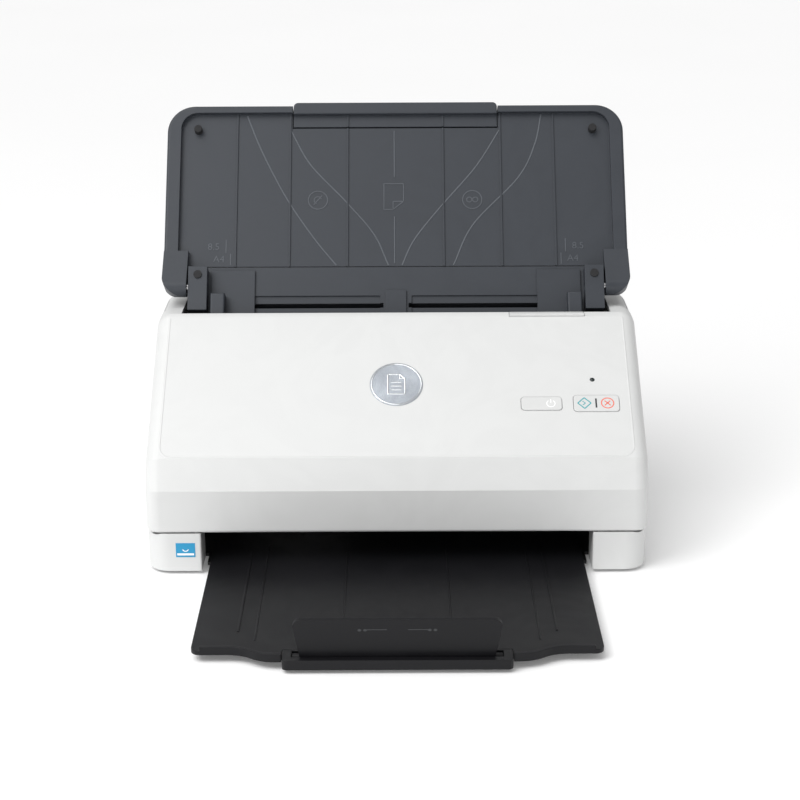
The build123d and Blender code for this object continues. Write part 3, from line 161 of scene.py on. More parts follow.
class Effects:
    """The shader groups that several finishes share."""

    FLOAT = "NodeSocketFloat"
    VECTOR = "NodeSocketVector"

    def __init__(self) -> None:
        """Builds every group once."""
        self.grain = self._grain()
        self.handling = self._handling()
        self.lines = self._lines()
        self.dust = self._dust()

    def _grain(self) -> bpy.types.NodeTree:
        """Spark-eroded mould grain: two sizes of noise and a flattened top, as a height from 0 to 1."""
        graph, sockets, out = new_group(
            "moulded_grain", {"Vector": self.VECTOR, "Scale": self.FLOAT}, {"Height": self.FLOAT}
        )
        coarse = graph.add(
            "ShaderNodeTexNoise", {"Vector": sockets["Vector"], "Scale": sockets["Scale"], "Detail": 2.0}
        ).outputs["Fac"]
        fine_scale = graph.math("MULTIPLY", sockets["Scale"], 2.7)
        cells = graph.add("ShaderNodeTexVoronoi", {"Vector": sockets["Vector"], "Scale": fine_scale})
        fine = cells.outputs["Distance"]
        total = graph.math("ADD", graph.math("MULTIPLY", coarse, 0.7), graph.math("MULTIPLY", fine, 0.3))
        graph.tree.links.new(graph.math("MINIMUM", total, 0.62), out.inputs["Height"])
        return graph.tree

    def _handling(self) -> bpy.types.NodeTree:
        """Patches where hands and cloths have polished a surface, as a mask from 0 to 1."""
        graph, sockets, out = new_group(
            "handling", {"Vector": self.VECTOR, "Scale": self.FLOAT}, {"Mask": self.FLOAT}
        )
        warp = graph.add("ShaderNodeTexNoise", {"Vector": sockets["Vector"], "Scale": 9.0, "Detail": 1.0})
        moved = graph.add(
            "ShaderNodeVectorMath", {0: sockets["Vector"], 1: warp.outputs["Color"]}, operation="ADD"
        ).outputs[0]
        patch = graph.add("ShaderNodeTexNoise", {"Vector": moved, "Scale": sockets["Scale"], "Detail": 5.0})
        ramp = graph.add(
            "ShaderNodeMapRange",
            {"Value": patch.outputs["Fac"], "From Min": 0.35, "From Max": 0.68},
            interpolation_type="SMOOTHSTEP",
        )
        graph.tree.links.new(ramp.outputs["Result"], out.inputs["Mask"])
        return graph.tree

    def _lines(self) -> bpy.types.NodeTree:
        """Fine lines along X, as brushing or turning leaves, as a height from 0 to 1."""
        graph, sockets, out = new_group(
            "brushed_lines", {"Vector": self.VECTOR, "Scale": self.FLOAT}, {"Height": self.FLOAT}
        )
        stretched = graph.add(
            "ShaderNodeVectorMath", {0: sockets["Vector"], 1: (0.02, 1.0, 1.0)}, operation="MULTIPLY"
        ).outputs[0]
        inputs = {"Vector": stretched, "Scale": sockets["Scale"], "Detail": 3.0}
        noise = graph.add("ShaderNodeTexNoise", inputs)
        graph.tree.links.new(noise.outputs["Fac"], out.inputs["Height"])
        return graph.tree

    def _dust(self) -> bpy.types.NodeTree:
        """Dust that lies where a surface faces up, broken by noise, as a mask from 0 to 1."""
        graph, sockets, out = new_group(
            "dust", {"Vector": self.VECTOR, "Amount": self.FLOAT}, {"Mask": self.FLOAT}
        )
        normal = graph.add("ShaderNodeNewGeometry").outputs["Normal"]
        height = graph.add("ShaderNodeSeparateXYZ", {"Vector": normal}).outputs["Z"]
        facing = graph.add("ShaderNodeMapRange", {"Value": height, "From Min": 0.3, "From Max": 1.0})
        upward = facing.outputs["Result"]
        specks = graph.add("ShaderNodeTexNoise", {"Vector": sockets["Vector"], "Scale": 420.0, "Detail": 6.0})
        cover = graph.math("MULTIPLY", upward, specks.outputs["Fac"])
        graph.tree.links.new(graph.math("MULTIPLY", cover, sockets["Amount"]), out.inputs["Mask"])
        return graph.tree


@dataclass(frozen=True)
class Finish:
    """What every finish holds.

    Attributes:
        name: the material's name.
        color: linear base colour.
        roughness: roughness of the clean surface.
        edge: radius in metres that softens sharp edges in the light.
    """

    name: str
    color: tuple[float, float, float]
    roughness: float = 0.4
    edge: float = 0.0004

    def start(self) -> tuple[bpy.types.Material, Graph, bpy.types.NodeSocket, bpy.types.Node]:
        """Makes the material with its shader.

        Returns:
            The material, its graph, the Object coordinate socket and the Principled shader.
        """
        material = bpy.data.materials.new(self.name)
        material.use_nodes = True
        material.node_tree.nodes.clear()
        graph = Graph(material.node_tree)
        looks = {"Base Color": (*self.color, 1.0), "Roughness": self.roughness}
        shader = graph.add("ShaderNodeBsdfPrincipled", looks)
        graph.add("ShaderNodeOutputMaterial", {"Surface": shader.outputs[0]})
        coordinate = graph.add("ShaderNodeTexCoord").outputs["Object"]
        return material, graph, coordinate, shader

    def relief(
        self,
        graph: Graph,
        shader: bpy.types.Node,
        height: bpy.types.NodeSocket,
        depth: float,
        soften: bool = True,
    ) -> None:
        """Turns a height from 0 to 1 into relief of the given depth on softened edges."""
        bump = graph.add("ShaderNodeBump", {"Height": height, "Distance": depth, "Strength": 1.0})
        if soften:
            rounded = graph.add("ShaderNodeBevel", {"Radius": self.edge}, samples=4)
            graph.tree.links.new(rounded.outputs[0], bump.inputs["Normal"])
        graph.tree.links.new(bump.outputs[0], shader.inputs["Normal"])

    def tint(
        self,
        graph: Graph,
        shader: bpy.types.Node,
        mask: bpy.types.NodeSocket,
        second: tuple[float, float, float],
    ) -> None:
        """Mixes the finish's colour with a second one by a mask from 0 to 1."""
        mixed = graph.blend(mask, (*self.color, 1.0), (*second, 1.0))
        graph.tree.links.new(mixed, shader.inputs["Base Color"])

    def roughen(
        self, graph: Graph, shader: bpy.types.Node, mask: bpy.types.NodeSocket, less: float, more: float
    ) -> None:
        """Carries a mask from 0 to 1 to a roughness from less below to more above the finish's own."""
        value = graph.span(mask, self.roughness - less, self.roughness + more)
        graph.tree.links.new(value, shader.inputs["Roughness"])

    def group(self, graph: Graph, tree: bpy.types.NodeTree, **inputs: object) -> bpy.types.Node:
        """Places a shared group in the material."""
        node = graph.add("ShaderNodeGroup", node_tree=tree)
        for name, value in inputs.items():
            if isinstance(value, bpy.types.NodeSocket):
                graph.tree.links.new(value, node.inputs[name])
            else:
                node.inputs[name].default_value = value
        return node

    def build(self, effects: Effects) -> bpy.types.Material:
        """Builds the material."""
        raise NotImplementedError


@dataclass(frozen=True)
class Moulded(Finish):
    """Moulded plastic: grain from the tool, faint mottling, polished patches and a little dust."""

    grain: float = 0.00045
    depth: float = 0.00003
    mottle: float = 0.06
    polish: float = 0.12
    dust: float = 0.05
    specular: float = 0.5

    def build(self, effects: Effects) -> bpy.types.Material:
        """Builds the material."""
        material, graph, where, shader = self.start()
        shader.inputs["Specular IOR Level"].default_value = self.specular
        marks = self.group(graph, effects.handling, Vector=where, Scale=14.0).outputs["Mask"]
        dust = self.group(graph, effects.dust, Vector=where, Amount=self.dust).outputs["Mask"]
        darker = tuple(channel * (1 - self.mottle) for channel in self.color)
        tone = graph.blend(marks, (*self.color, 1.0), (*darker, 1.0))
        dusty = graph.blend(dust, tone, (0.62, 0.61, 0.58, 1.0))
        graph.tree.links.new(dusty, shader.inputs["Base Color"])
        rough = graph.span(marks, self.roughness + self.polish / 2, self.roughness - self.polish / 2)
        graph.tree.links.new(graph.math("ADD", rough, dust), shader.inputs["Roughness"])
        grain = self.group(graph, effects.grain, Vector=where, Scale=1.0 / self.grain).outputs["Height"]
        self.relief(graph, shader, grain, self.depth)
        return material


@dataclass(frozen=True)
class Rubber(Finish):
    """Ground or moulded rubber: matt, speckled, with fine ground lines round it."""

    ring: float = 0.0006

    def build(self, effects: Effects) -> bpy.types.Material:
        """Builds the material."""
        material, graph, where, shader = self.start()
        shader.inputs["Specular IOR Level"].default_value = 0.3
        noise = graph.add("ShaderNodeTexNoise", {"Vector": where, "Scale": 900.0, "Detail": 4.0})
        speckle = noise.outputs["Fac"]
        pale = tuple(min(1.0, channel * 1.6 + 0.02) for channel in self.color)
        self.tint(graph, shader, speckle, pale)
        self.roughen(graph, shader, speckle, 0.1, 0.1)
        inputs = {"Vector": where, "Scale": 0.314 / self.ring, "Distortion": 0.6}
        wave = graph.add("ShaderNodeTexWave", inputs)
        self.relief(graph, shader, wave.outputs["Fac"], 0.00008)
        return material


@dataclass(frozen=True)
class Metal(Finish):
    """Turned, brushed or plated metal: lines in the relief, and stains in the colour."""

    line: float = 0.0002
    depth: float = 0.00002
    stain: float = 0.15

    def build(self, effects: Effects) -> bpy.types.Material:
        """Builds the material."""
        material, graph, where, shader = self.start()
        shader.inputs["Metallic"].default_value = 1.0
        marks = self.group(graph, effects.handling, Vector=where, Scale=40.0).outputs["Mask"]
        darker = tuple(channel * (1 - self.stain) for channel in self.color)
        self.tint(graph, shader, marks, darker)
        lines = self.group(graph, effects.lines, Vector=where, Scale=1.0 / self.line).outputs["Height"]
        self.roughen(graph, shader, lines, 0.08, 0.08)
        self.relief(graph, shader, lines, self.depth)
        return material


@dataclass(frozen=True)
class SpunDisc(Finish):
    """A spun metal disc: rings round its own centre.

    Attributes:
        centre: the disc's centre, in the row frame.
    """

    centre: tuple[float, float, float] = (0.0, 0.0, 0.0)

    def build(self, effects: Effects) -> bpy.types.Material:
        """Builds the material."""
        material, graph, where, shader = self.start()
        shader.inputs["Metallic"].default_value = 0.85
        shader.inputs["Coat Weight"].default_value = 0.3
        shift = tuple(-value for value in self.centre)
        centred = graph.add("ShaderNodeVectorMath", {0: where, 1: shift}, operation="ADD").outputs[0]
        rings = graph.add(
            "ShaderNodeTexWave",
            {"Vector": centred, "Scale": 900.0, "Distortion": 0.4, "Detail": 1.0},
            wave_type="RINGS",
            rings_direction="SPHERICAL",
        ).outputs["Fac"]
        marks = self.group(graph, effects.handling, Vector=where, Scale=60.0).outputs["Mask"]
        darker = tuple(channel * 0.88 for channel in self.color)
        self.tint(graph, shader, marks, darker)
        self.roughen(graph, shader, rings, 0.05, 0.08)
        self.relief(graph, shader, rings, 0.000012)
        return material


@dataclass(frozen=True)
class CircuitBoard(Finish):
    """A lacquered circuit board: copper tracks under the lacquer and rows of plated holes."""

    pitch: float = 0.00254

    def build(self, effects: Effects) -> bpy.types.Material:
        """Builds the material."""
        material, graph, where, shader = self.start()
        shader.inputs["Coat Weight"].default_value = 0.6
        tracks = graph.add(
            "ShaderNodeTexBrick",
            {"Vector": where, "Scale": 0.35 / self.pitch, "Mortar Size": 0.035, "Mortar Smooth": 0.4},
        ).outputs["Fac"]
        track_color = tuple(min(1.0, channel * 2.2 + 0.01) for channel in self.color)
        lacquer = graph.blend(tracks, (*self.color, 1.0), (*track_color, 1.0))
        inputs = {"Vector": where, "Scale": 0.5 / self.pitch, "Randomness": 0.35}
        holes = graph.add("ShaderNodeTexVoronoi", inputs)
        pads = graph.math("LESS_THAN", holes.outputs["Distance"], 0.16)
        graph.tree.links.new(graph.blend(pads, lacquer, (0.72, 0.68, 0.55, 1.0)), shader.inputs["Base Color"])
        graph.tree.links.new(graph.math("MULTIPLY", pads, 0.9), shader.inputs["Metallic"])
        self.relief(graph, shader, tracks, 0.00003)
        return material


@dataclass(frozen=True)
class Printed(Finish):
    """Screen printed ink or printed film: even colour with a fine dot screen."""

    screen: float = 0.0002

    def build(self, effects: Effects) -> bpy.types.Material:
        """Builds the material."""
        material, graph, where, shader = self.start()
        cells = graph.add("ShaderNodeTexVoronoi", {"Vector": where, "Scale": 1.0 / self.screen})
        dots = cells.outputs["Distance"]
        lighter = tuple(min(1.0, channel * 1.12 + 0.01) for channel in self.color)
        self.tint(graph, shader, dots, lighter)
        self.roughen(graph, shader, dots, 0.04, 0.06)
        self.relief(graph, shader, dots, 0.000006, soften=False)
        return material


@dataclass(frozen=True)
class Pane(Finish):
    """Clear glass with a light film of dust."""

    def build(self, effects: Effects) -> bpy.types.Material:
        """Builds the material."""
        material, graph, where, shader = self.start()
        shader.inputs["Transmission Weight"].default_value = 0.9
        shader.inputs["IOR"].default_value = 1.5
        marks = self.group(graph, effects.handling, Vector=where, Scale=30.0).outputs["Mask"]
        self.roughen(graph, shader, marks, 0.0, 0.1)
        return material


# ---------------------------------------------------------------- surfaces worked out with numpy
def weld_and_smooth() -> bpy.types.NodeTree:
    """Makes the modifier group that joins a CAD mesh's loose triangles and keeps its sharp edges.

    Returns:
        The geometry node group: vertices closer than a micrometre merge, every face is shaded smooth,
        and an edge that turns by more than the given angle stays sharp.
    """
    sharp_angle = math.radians(18.0)
    tree = bpy.data.node_groups.new("weld_and_smooth", "GeometryNodeTree")
    tree.interface.new_socket("Geometry", in_out="INPUT", socket_type="NodeSocketGeometry")
    tree.interface.new_socket("Geometry", in_out="OUTPUT", socket_type="NodeSocketGeometry")
    graph = Graph(tree)
    source = graph.add("NodeGroupInput").outputs[0]
    merged = graph.add("GeometryNodeMergeByDistance", {"Geometry": source, "Distance": 1e-6}).outputs[0]
    shading = {"Geometry": merged, "Shade Smooth": True}
    smooth = graph.add("GeometryNodeSetShadeSmooth", shading, domain="FACE")
    angle = graph.add("GeometryNodeInputMeshEdgeAngle").outputs["Unsigned Angle"]
    turned = graph.math("GREATER_THAN", angle, sharp_angle)
    sharp = graph.add(
        "GeometryNodeSetShadeSmooth",
        {"Geometry": smooth.outputs[0], "Selection": turned, "Shade Smooth": False},
        domain="EDGE",
    )
    graph.add("NodeGroupOutput", {0: sharp.outputs[0]})
    return tree


def section_bead(width: float, height: float, sunk: float = 0.0002) -> Array:
    """A half-round bead's section: an arch of seven points over a foot that is sunk in the surface.

    Args:
        width: across the bead, in metres.
        height: of the crown above the surface.
        sunk: how far the foot lies under the surface.

    Returns:
        Points (side, up), counter-clockwise.
    """
    turn = np.linspace(0.0, math.pi, 7)
    arch = np.stack([np.cos(turn) * width / 2, np.sin(turn) * height], 1)
    foot = np.array([[-width / 2, -sunk], [width / 2, -sunk]])
    return np.concatenate([arch, foot])


def section_flat(width: float, height: float, sunk: float = 0.0001) -> Array:
    """A flat printed or raised line's section: a low box with eased upper corners."""
    ease = min(width, height) * 0.3
    half = width / 2
    return np.array([
        [half, -sunk], [half, height - ease], [half - ease, height],
        [ease - half, height], [-half, height - ease], [-half, -sunk],
    ])


def through(points: list[tuple[float, float]], steps: int = 24) -> Array:
    """A Catmull-Rom curve through the points: between two of them the cubic takes each end's slope
    from its two neighbours.

    Args:
        points: corners in the plane, in millimetres.
        steps: positions between two of them.

    Returns:
        An array of positions (x, along).
    """
    corner = np.array(points, float)
    padded = np.concatenate([2 * corner[:1] - corner[1:2], corner, 2 * corner[-1:] - corner[-2:-1]])
    t = np.linspace(0.0, 1.0, steps, endpoint=False)[:, None]
    spans = []
    for a, b, c, d in zip(padded[:-3], padded[1:-2], padded[2:-1], padded[3:]):
        square = (2 * a - 5 * b + 4 * c - d) * t**2
        cube = (3 * b - a - 3 * c + d) * t**3
        spans.append(0.5 * (2 * b + (c - a) * t + square + cube))
    return np.concatenate([*spans, corner[-1:]])


def arc(centre: tuple[float, float], radius: float, start: float, end: float, steps: int = 40) -> Array:
    """Points of an arc in the plane, from one angle in degrees to another."""
    turn = np.radians(np.linspace(start, end, steps))
    return np.stack([centre[0] + radius * np.cos(turn), centre[1] + radius * np.sin(turn)], 1)


def straight(points: list[tuple[float, float]], step: float = 2.0) -> Array:
    """Points along straight runs, close enough together to follow a surface."""
    corner = np.array(points, float)
    runs = [
        a + (b - a) * np.linspace(0, 1, max(2, int(np.linalg.norm(b - a) / step)), endpoint=False)[:, None]
        for a, b in zip(corner[:-1], corner[1:])
    ]
    return np.concatenate([*runs, corner[-1:]])


@dataclass
class Slope:
    """A leaning surface's own frame.

    Attributes:
        origin: a point on it, in metres.
        up: the unit vector up the slope.
        out: the unit vector away from it, towards the user.
    """

    origin: Vector
    up: Vector
    out: Vector

    def place(self, across: Array, along: Array, above: Array | float) -> Array:
        """World points of (across, along, above), all in millimetres: origin + X + up + out, each scaled."""
        across, along, above = np.broadcast_arrays(across, along, above)
        base = np.array(self.origin)[None] + np.array([[1.0, 0.0, 0.0]]) * across.reshape(-1, 1) * MM
        rise = np.array(self.up)[None] * along.reshape(-1, 1) * MM
        return base + rise + np.array(self.out)[None] * above.reshape(-1, 1) * MM

    def extent(self, node: bpy.types.Object) -> tuple[Array, Array]:
        """The lowest and highest (across, along, above) of a node, in millimetres."""
        points = np.array([v.co for v in node.data.vertices], float) - np.array(self.origin)
        local = np.stack([points[:, 0], points @ np.array(self.up), points @ np.array(self.out)], 1) / MM
        return local.min(0), local.max(0)

    def levels(self, node: bpy.types.Object, flat: Array, start: float = 30.0) -> Array:
        """How far above the slope a node's surface stands under each point, or nan beside it.

        Args:
            node: the node that is looked at from outside.
            flat: points (across, along) in millimetres.
            start: height in millimetres that the look starts from.

        Returns:
            One level in millimetres for each point.
        """
        vertices = [v.co.copy() for v in node.data.vertices]
        tree = BVHTree.FromPolygons(vertices, [tuple(p.vertices) for p in node.data.polygons])
        origins = self.place(flat[:, 0], flat[:, 1], start)
        found = []
        for origin in origins:
            distance = tree.ray_cast(Vector(origin), -self.out)[3]
            found.append(math.nan if distance is None else start - distance / MM)
        return np.array(found)


class Shop:
    """Makes meshes and keeps the finishes.

    Attributes:
        finishes: the materials by slot or by finish name.
    """

    def __init__(self, finishes: dict[str, bpy.types.Material]) -> None:
        """Keeps the materials."""
        self.finishes = finishes

    def piece(
        self,
        name: str,
        meshes: list[tuple[Array, list]],
        finish: str,
        slot: str,
        body: Body,
        smooth: float = 40.0,
    ) -> bpy.types.Object:
        """Joins surfaces into one piece and puts it on its body.

        Args:
            name: the piece's name.
            meshes: pairs of vertices and faces.
            finish: the name of its material.
            slot: the record's slot that it takes its finish from.
            body: the body that it rides on.
            smooth: the angle in degrees over which an edge stays sharp.

        Returns:
            The new object.
        """
        work = bmesh.new()
        for vertices, faces in meshes:
            made = [work.verts.new(v) for v in vertices.tolist()]
            for face in faces:
                work.faces.new([made[index] for index in face])
        bmesh.ops.remove_doubles(work, verts=work.verts, dist=1e-7)
        bmesh.ops.recalc_face_normals(work, faces=work.faces)
        for face in work.faces:
            face.smooth = True
        mesh = bpy.data.meshes.new(name)
        work.to_mesh(mesh)
        work.free()
        mesh.set_sharp_from_angle(angle=math.radians(smooth))
        mesh.materials.append(self.finishes[finish])
        obj = bpy.data.objects.new(name, mesh)
        bpy.context.scene.collection.objects.link(obj)
        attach(obj, body.value)
        LOG.info("piece %s: %d faces on %s", name, len(mesh.polygons), body.value)
        return obj

    @staticmethod
    def sweep(centres: Array, normals: Array, section: Array, closed: bool = False) -> tuple[Array, list]:
        """Carries a section along a path: each ring is centre + side * x + normal * y, where side is
        the path's direction crossed with the normal.

        Args:
            centres: the path's points.
            normals: the direction away from the surface at each.
            section: points (side, up) of the closed section, in metres.
            closed: whether the path ends where it starts.

        Returns:
            The vertices and the faces.
        """
        if closed:
            tangent = np.roll(centres, -1, 0) - np.roll(centres, 1, 0)
        else:
            tangent = np.gradient(centres, axis=0)
        tangent /= np.linalg.norm(tangent, axis=1, keepdims=True)
        side = np.cross(tangent, normals)
        side /= np.linalg.norm(side, axis=1, keepdims=True)
        rings = centres[:, None] + side[:, None] * section[None, :, :1]
        rings = rings + normals[:, None] * section[None, :, 1:]
        count, around = len(centres), len(section)
        spans = count if closed else count - 1
        first = np.arange(spans)[:, None] * around
        second = (np.arange(spans)[:, None] + 1) % count * around
        here = np.arange(around)[None]
        there = (here + 1) % around
        corners = [first + here, first + there, second + there, second + here]
        quads = np.stack(corners, 2).reshape(-1, 4).tolist()
        if not closed:
            quads += [list(range(around))[::-1], list(range((count - 1) * around, count * around))]
        return rings.reshape(-1, 3), quads

    def line(
        self, slope: Slope, flat: Array, level: Array | float, section: Array, closed: bool = False
    ) -> tuple[Array, list]:
        """A line of the given section that lies on a slope.

        Args:
            slope: the surface's frame.
            flat: points (across, along) in millimetres.
            level: the surface's height above the slope at each point, in millimetres.
            section: the line's section, in metres.
            closed: whether the line is a loop.

        Returns:
            The vertices and the faces.
        """
        centres = slope.place(flat[:, 0], flat[:, 1], level)
        normals = np.repeat(np.array(slope.out)[None], len(centres), 0)
        return self.sweep(centres, normals, section, closed)

    def dome(
        self, slope: Slope, centre: tuple[float, float], level: float, radius: float, height: float
    ) -> tuple[Array, list]:
        """A low domed disc: rings whose height falls as a cosine from the crown to the rim.

        Args:
            slope: the surface's frame.
            centre: (across, along) in millimetres.
            level: the surface's height above the slope.
            radius: of the disc, in millimetres.
            height: of its crown, in millimetres.

        Returns:
            The vertices and the faces.
        """
        around, rings = 32, 5
        part = np.linspace(0.12, 1.0, rings)[:, None]
        turn = np.linspace(0, 2 * math.pi, around, endpoint=False)[None]
        across = centre[0] + radius * part * np.cos(turn)
        along = centre[1] + radius * part * np.sin(turn)
        above = level + height * np.cos(part * math.pi / 2) + 0 * turn
        sides = slope.place(across.ravel(), along.ravel(), above.ravel())
        foot = slope.place(across[-1], along[-1], np.full(around, level - 0.1))
        vertices = np.concatenate([sides, foot])
        here = np.arange(around)
        there = (here + 1) % around
        faces = []
        for ring in range(rings):
            inner, outer = ring * around, (ring + 1) * around
            faces += np.stack([inner + here, inner + there, outer + there, outer + here], 1).tolist()
        faces += [here.tolist(), (rings * around + here).tolist()]
        return vertices, faces

    def lettering(
        self, slope: Slope, text: str, centre: tuple[float, float], level: float, size: float, height: float
    ) -> tuple[Array, list]:
        """Raised generic figures that lie on a slope.

        Args:
            slope: the surface's frame.
            text: the figures.
            centre: (across, along) in millimetres.
            level: the surface's height above the slope.
            size: the figures' size in millimetres.
            height: how far they stand out, in millimetres.

        Returns:
            The vertices and the faces.
        """
        curve = bpy.data.curves.new("figures", "FONT")
        curve.body = text
        curve.size = size
        curve.align_x = "CENTER"
        curve.align_y = "CENTER"
        curve.extrude = height / 2 + 0.05
        curve.resolution_u = 3
        holder = bpy.data.objects.new("figures", curve)
        mesh = bpy.data.meshes.new_from_object(holder)
        points = np.array([v.co for v in mesh.vertices], float)
        faces = [list(p.vertices) for p in mesh.polygons]
        bpy.data.objects.remove(holder)
        bpy.data.curves.remove(curve)
        bpy.data.meshes.remove(mesh)
        across = centre[0] + points[:, 0]
        along = centre[1] + points[:, 1]
        return slope.place(across, along, level + points[:, 2] + height / 2 - 0.05), faces


# ---------------------------------------------------------------- the machine's sub-assemblies
@dataclass
class Machine:
    """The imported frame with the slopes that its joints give.

    Attributes:
    """

    frame: dict
    joints: dict = field(init=False)
    nodes: dict = field(init=False)
    lid: Slope = field(init=False)
    face: Slope = field(init=False)

    def __post_init__(self) -> None:
        """Reads the lid's and the face's lean from the joints' axes."""
        self.joints = {joint["name"]: joint for joint in self.frame["joints"]}
        self.nodes = self.frame["nodes"]
        lid_up = Vector(self.joints["input_extension_slide"]["axis"])
        hinge = Vector(self.joints["input_tray_hinge"]["pos_m"])
        self.lid = Slope(hinge, lid_up, Vector((0.0, -lid_up.z, lid_up.y)))
        inward = Vector(self.joints["power_key_press"]["axis"])
        outward = -inward
        badge_low, badge_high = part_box("round_badge")
        centre = (badge_low + badge_high) / 2
        self.face = Slope(Vector((0.0, centre.y, centre.z)), Vector((0.0, outward.z, -outward.y)), outward)


@dataclass
class InputTray:
    """The folding input tray: moulded ribs, sweeping lines, engraved signs and size marks."""

    machine: Machine
    shop: Shop
    rib: Array = field(default_factory=lambda: section_bead(0.0009, 0.00032))
    sweep_line: Array = field(default_factory=lambda: section_bead(0.0011, 0.00026))
    sign: Array = field(default_factory=lambda: section_flat(0.0007, 0.00022))
    slot: str = "blue_plastic"
    # the raised lines take a lighter blue than the panel: painted highlight for the gloss on their crowns
    edge: str = "painted_highlight_blue"

    def _on_panel(self, flat: Array) -> tuple[Array, Array]:
        """Keeps the longest run of points that lie on the panel's main level.

        Args:
            flat: points (across, along) in millimetres.

        Returns:
            The kept points and the panel's main level at each, so that a line passes under a rib.
        """
        level = self.machine.lid.levels(self.machine.nodes["input_tray_panel"], flat)
        main = self.panel_level
        good = np.abs(level - main) < 0.9
        edges = np.flatnonzero(np.diff(np.concatenate([[0], good.astype(int), [0]])))
        starts, ends = edges[::2], edges[1::2]
        best = int(np.argmax(ends - starts))
        keep = slice(starts[best], ends[best])
        return flat[keep], np.full(ends[best] - starts[best], main)

    @property
    def panel_level(self) -> float:
        """The level of the panel's main surface, from a point in its middle."""
        panel = self.machine.nodes["input_tray_panel"]
        return float(self.machine.lid.levels(panel, np.array([[20.0, 60.0]]))[0])

    def _lines(self, runs: list[Array], section: Array) -> list[tuple[Array, list]]:
        """Lays each run on the panel."""
        laid = [self._on_panel(run) for run in runs]
        kept = [(flat, level) for flat, level in laid if len(flat) > 2]
        return [self.shop.line(self.machine.lid, flat, level, section) for flat, level in kept]

    def ribs(self) -> None:
        """The middle rib, which is broken round the page sign."""
        runs = [straight([(-0.7, 18.0), (-0.7, 50.0)]), straight([(-0.7, 77.0), (-0.7, 124.0)])]
        self.shop.piece("input_tray_ribs", self._lines(runs, self.rib), self.edge, self.slot, Body.LID)

    def sweeps(self) -> None:
        """Four pairs of S-shaped lines that run from the upper corners to the feed mouth."""
        left = [
            [(-98, 124), (-87, 96), (-70.5, 63), (-53, 36), (-38, 16.6)],
            [(-68, 110), (-55, 86), (-31.7, 60), (-14, 38), (-4.6, 16.6)],
        ]
        right = [
            [(96, 124), (91, 100), (79.5, 76.5), (50, 44.3), (37, 16.6)],
            [(68, 110), (52, 84), (28.7, 56), (12, 34), (4.0, 16.6)],
        ]
        runs = [through(points) for points in left + right]
        meshes = self._lines(runs, self.sweep_line)
        self.shop.piece("input_tray_sweeps", meshes, self.edge, self.slot, Body.LID)

    def signs(self) -> None:
        """A page with a turned corner in the middle, and two ringed signs beside it."""
        lid, level = self.machine.lid, self.panel_level
        page = [(5.2, 72.6), (-7.5, 72.6), (-7.5, 54.8), (-1.6, 54.8), (-1.6, 60.4), (5.2, 60.4), (5.2, 72.6)]
        fold = [(-1.6, 54.8), (5.2, 60.4)]
        meshes = [self.shop.line(lid, straight(run, 1.0), level, self.sign) for run in (page, fold)]
        for x in (-50.2, 49.6):
            ring = arc((x, 61.4), 6.2, 0, 360, 49)[:-1]
            meshes.append(self.shop.line(lid, ring, level, self.sign, closed=True))
        left = [(-52.9, 58.2), (-47.5, 64.6)]
        meshes.append(self.shop.line(lid, straight(left, 1.0), level, self.sign))
        meshes.append(self.shop.line(lid, arc((-50.2, 61.4), 2.4, 20, 250, 24), level, self.sign))
        for shift in (-1.9, 1.9):
            small = arc((49.6 + shift, 61.4), 1.7, 0, 360, 25)[:-1]
            meshes.append(self.shop.line(lid, small, level, self.sign, closed=True))
        self.shop.piece("input_tray_signs", meshes, self.edge, self.slot, Body.LID)

    def size_marks(self) -> None:
        """Sheet width marks beside the guides: an upright line with its figures on each side."""
        lid, level = self.machine.lid, self.panel_level
        meshes = []
        for hand in (-1, 1):
            for x, along, figures in ((117.0, 29.5, "8.5"), (113.5, 21.0, "A4")):
                meshes.append(self.shop.lettering(lid, figures, (hand * x, along), level, 6.4, 0.22))
            for x, low, high in ((109.0, 25.5, 34.5), (106.0, 17.2, 24.8)):
                run = straight([(hand * x, low), (hand * x, high)])
                meshes.append(self.shop.line(lid, run, level, self.sign))
        self.shop.piece("input_tray_size_marks", meshes, self.edge, self.slot, Body.LID)

    def build(self) -> None:
        """Builds every piece of the input tray."""
        self.ribs()
        self.sweeps()
        self.signs()
        self.size_marks()


